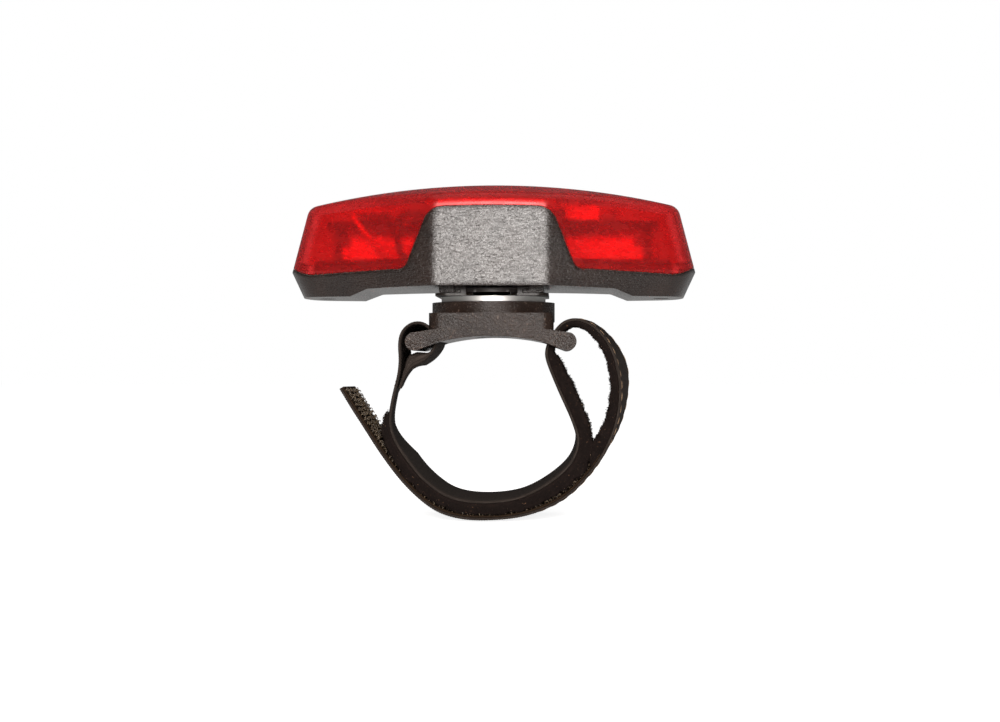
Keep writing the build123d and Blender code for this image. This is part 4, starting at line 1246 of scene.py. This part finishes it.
class HELMETLIGHT_OT_stitches(bpy.types.Operator):
    """Sew the strap: its seam rows and the line along its edges"""

    bl_idname = "helmet_light.stitches"
    bl_label = "Sew Stitches"

    def execute(self, context):
        sizes = context.scene.strap_sizes
        colour = context.scene.lamp_colours.thread
        path = StrapPath(STRAP_ROUTE)
        draw = np.random.default_rng(SEED + 9)
        radius = sizes.thread_radius
        steps, sides = 11, 8
        edge = sizes.half_width - 0.9 * MM
        edge_stitch, edge_pitch = 1.5 * MM, 2.1 * MM
        seam_stitch, seam_pitch, seam_columns = 1.9 * MM, 2.6 * MM, 7

        # Place along and across the strap, length, turn, and side: -1 smooth, 1 rough
        rows = []
        for s in np.arange(path.at_run(21, 0.8), path.at_run(28), edge_pitch):
            for y in (-edge, edge):
                rows.append((s, y, edge_stitch, 0.0, -1.0))
        for share in (0.42, 0.54):
            s = path.at_run(8, share)
            for column in range(seam_columns):
                y = (column - seam_columns // 2) * seam_pitch
                rows.append((s, y, seam_stitch, math.pi / 2, 1.0))
        count = len(rows)
        along, across, length, turn, side = np.array(rows).T[:, :, None]
        t = np.linspace(-0.5, 0.5, steps)[None, :]
        turn = turn + draw.normal(0, 0.05, (count, 1))
        s = along + draw.normal(0, 0.05, (count, 1)) * MM + t * length * np.cos(turn)
        w = across + draw.normal(0, 0.03, (count, 1)) * MM + t * length * np.sin(turn)
        rise = radius * (0.15 - 16.0 * t**4)
        depth = np.where(side < 0, 0.07 * MM - rise, sizes.webbing_thick + rise)
        centres = path.place(s, w, depth)
        radii = radius * (1 - 0.35 * (2 * np.abs(t)) ** 3) * np.ones((count, 1))
        up = np.tile(np.array([[0.31, 0.2, 0.93]]), (count, 1))
        yarn = cloth_material(
            "Sewing Thread", colour, (0.42, 0.30, 0.20), 0.3, 0.25, 0.03 * MM, 0.7
        )
        piece = thread_piece("sewn_thread", centres, radii, sides, up, yarn)
        ride_strap(piece, "strap_stitches")
        return {"FINISHED"}


class HELMETLIGHT_OT_studio(bpy.types.Operator):
    """Set the pale floor, the soft lamps and the camera"""

    bl_idname = "helmet_light.studio"
    bl_label = "Set Studio"

    def execute(self, context):
        scene = context.scene
        studio = scene.studio_sizes
        scene.view_settings.view_transform = "Standard"

        world = bpy.data.worlds.new("Pale Room")
        scene.world = world
        world.use_nodes = True
        tree = world.node_tree
        tree.nodes.clear()
        rays = add_node(tree, "ShaderNodeLightPath").outputs
        way = add_node(tree, "ShaderNodeTexCoord").outputs["Generated"]
        back_side = add_node(tree, "ShaderNodeSeparateXYZ", {0: way}).outputs["Y"]
        sweep = ramp(tree, back_side, -0.35, 0.35, studio.front_dark, studio.room_gloss)
        glossy = math_node(tree, "MULTIPLY", rays["Is Glossy Ray"], sweep)
        seen = math_node(tree, "MAXIMUM", rays["Is Camera Ray"], rays["Is Transmission Ray"])
        taken = math_node(tree, "MAXIMUM", seen, rays["Is Glossy Ray"])
        plain = math_node(tree, "SUBTRACT", 1.0, taken)
        strength = math_node(tree, "MAXIMUM", seen, glossy)
        strength = math_node(tree, "MULTIPLY_ADD", plain, studio.ambient, strength)
        white = {"Color": (1, 1, 1, 1), "Strength": strength}
        back = add_node(tree, "ShaderNodeBackground", white)
        out = tree.nodes.new("ShaderNodeOutputWorld")
        tree.links.new(back.outputs[0], out.inputs["Surface"])

        reach, gap = 1.5, 0.25 * MM
        level = cad_box[0][2] - gap
        signs = ((-1, -1), (1, -1), (1, 1), (-1, 1))
        corners = [(x * reach, y * reach, level) for x, y in signs]
        material, tree, shader = blank_material(
            "Pale Floor", Roughness=0.9, Specular_IOR_Level=0.0
        )
        speck = noise(tree, in_millimetres(tree), 0.05, 2.0)
        pale = [min(1.0, 1.02 * c) for c in studio.floor]
        colour_skin(tree, shader, mixed(tree, speck, opaque(studio.floor), opaque(pale)))
        rays = add_node(tree, "ShaderNodeLightPath").outputs
        seen = math_node(tree, "MAXIMUM", rays["Is Camera Ray"], rays["Is Transmission Ray"])
        glossy = math_node(tree, "MULTIPLY", rays["Is Glossy Ray"], studio.floor_gloss)
        # Some glow of its own keeps the floor as pale as the room behind it
        glow = math_node(tree, "MULTIPLY_ADD", seen, 0.85, glossy)
        tree.links.new(glow, shader.inputs["Emission Color"])
        shader.inputs["Emission Strength"].default_value = 1.0
        floor = mesh_piece("floor", corners, [np.array([[0, 1, 2, 3]])], material, False)

        target = Vector((0.0, 0.0, 0.012))
        lamps = (
            ("front_lamp", (0.004, -0.46, 0.112), 0.16, studio.front_power),
            ("top_lamp", (0.05, -0.12, 0.62), 0.55, studio.top_power),
        )
        for name, place, size, power in lamps:
            data = bpy.data.lights.new(name, "AREA")
            data.shape = "SQUARE"
            data.size = size
            data.energy = power
            data.color = (1.0, 0.955, 0.92)
            lamp = bpy.data.objects.new(name, data)
            lamp.location = place
            lamp.rotation_euler = (target - Vector(place)).to_track_quat("-Z", "Y").to_euler()
            scene.collection.objects.link(lamp)

        data = bpy.data.cameras.new("camera")
        data.sensor_width = 36.0
        data.lens = studio.camera_lens
        data.clip_start = 0.01
        camera = bpy.data.objects.new("camera", data)
        camera.location = (studio.camera_side, -studio.camera_distance, studio.camera_height)
        camera.rotation_euler = (math.pi / 2, 0.0, studio.camera_turn)
        scene.collection.objects.link(camera)
        scene.camera = camera
        return {"FINISHED"}


OPERATORS = (
    HELMETLIGHT_OT_studio,
    HELMETLIGHT_OT_lens,
    HELMETLIGHT_OT_housing,
    HELMETLIGHT_OT_rubber,
    HELMETLIGHT_OT_bracket,
    HELMETLIGHT_OT_shoe,
    HELMETLIGHT_OT_fasteners,
    HELMETLIGHT_OT_battery,
    HELMETLIGHT_OT_electronics,
    HELMETLIGHT_OT_webbing,
    HELMETLIGHT_OT_pile,
    HELMETLIGHT_OT_hooks,
    HELMETLIGHT_OT_stitches,
)


class VIEW3D_PT_helmet_light(bpy.types.Panel):
    """Lists the helmet light's pieces and their sizes"""

    bl_label = "Helmet Rear Light"
    bl_space_type = "VIEW_3D"
    bl_region_type = "UI"
    bl_category = "Helmet Light"

    def draw(self, context):
        for group in ("studio_sizes", "lamp_colours", "strap_sizes"):
            settings = getattr(context.scene, group)
            box = self.layout.box()
            for name in settings.__annotations__:
                box.prop(settings, name)
        column = self.layout.column(align=True)
        for operator in OPERATORS:
            column.operator(operator.bl_idname)


GROUPS = (
    ("studio_sizes", StudioSizes),
    ("lamp_colours", LampColours),
    ("strap_sizes", StrapSizes),
)


def register():
    """Add the settings, the operators and the panel."""
    for name, group in GROUPS:
        bpy.utils.register_class(group)
        setattr(bpy.types.Scene, name, bpy.props.PointerProperty(type=group))
    for operator in OPERATORS:
        bpy.utils.register_class(operator)
    bpy.utils.register_class(VIEW3D_PT_helmet_light)


def unregister():
    """Take the panel, the operators and the settings away."""
    bpy.utils.unregister_class(VIEW3D_PT_helmet_light)
    for operator in reversed(OPERATORS):
        bpy.utils.unregister_class(operator)
    for name, group in reversed(GROUPS):
        delattr(bpy.types.Scene, name)
        bpy.utils.unregister_class(group)


def main():
    """Register the add-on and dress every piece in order."""
    register()
    moulded_grain_group()
    edge_wear_group()
    settled_dust_group()
    yarn_group()
    for operator in OPERATORS:
        section, name = operator.bl_idname.split(".")
        getattr(getattr(bpy.ops, section), name)()


if __name__ == "__main__":
    main()
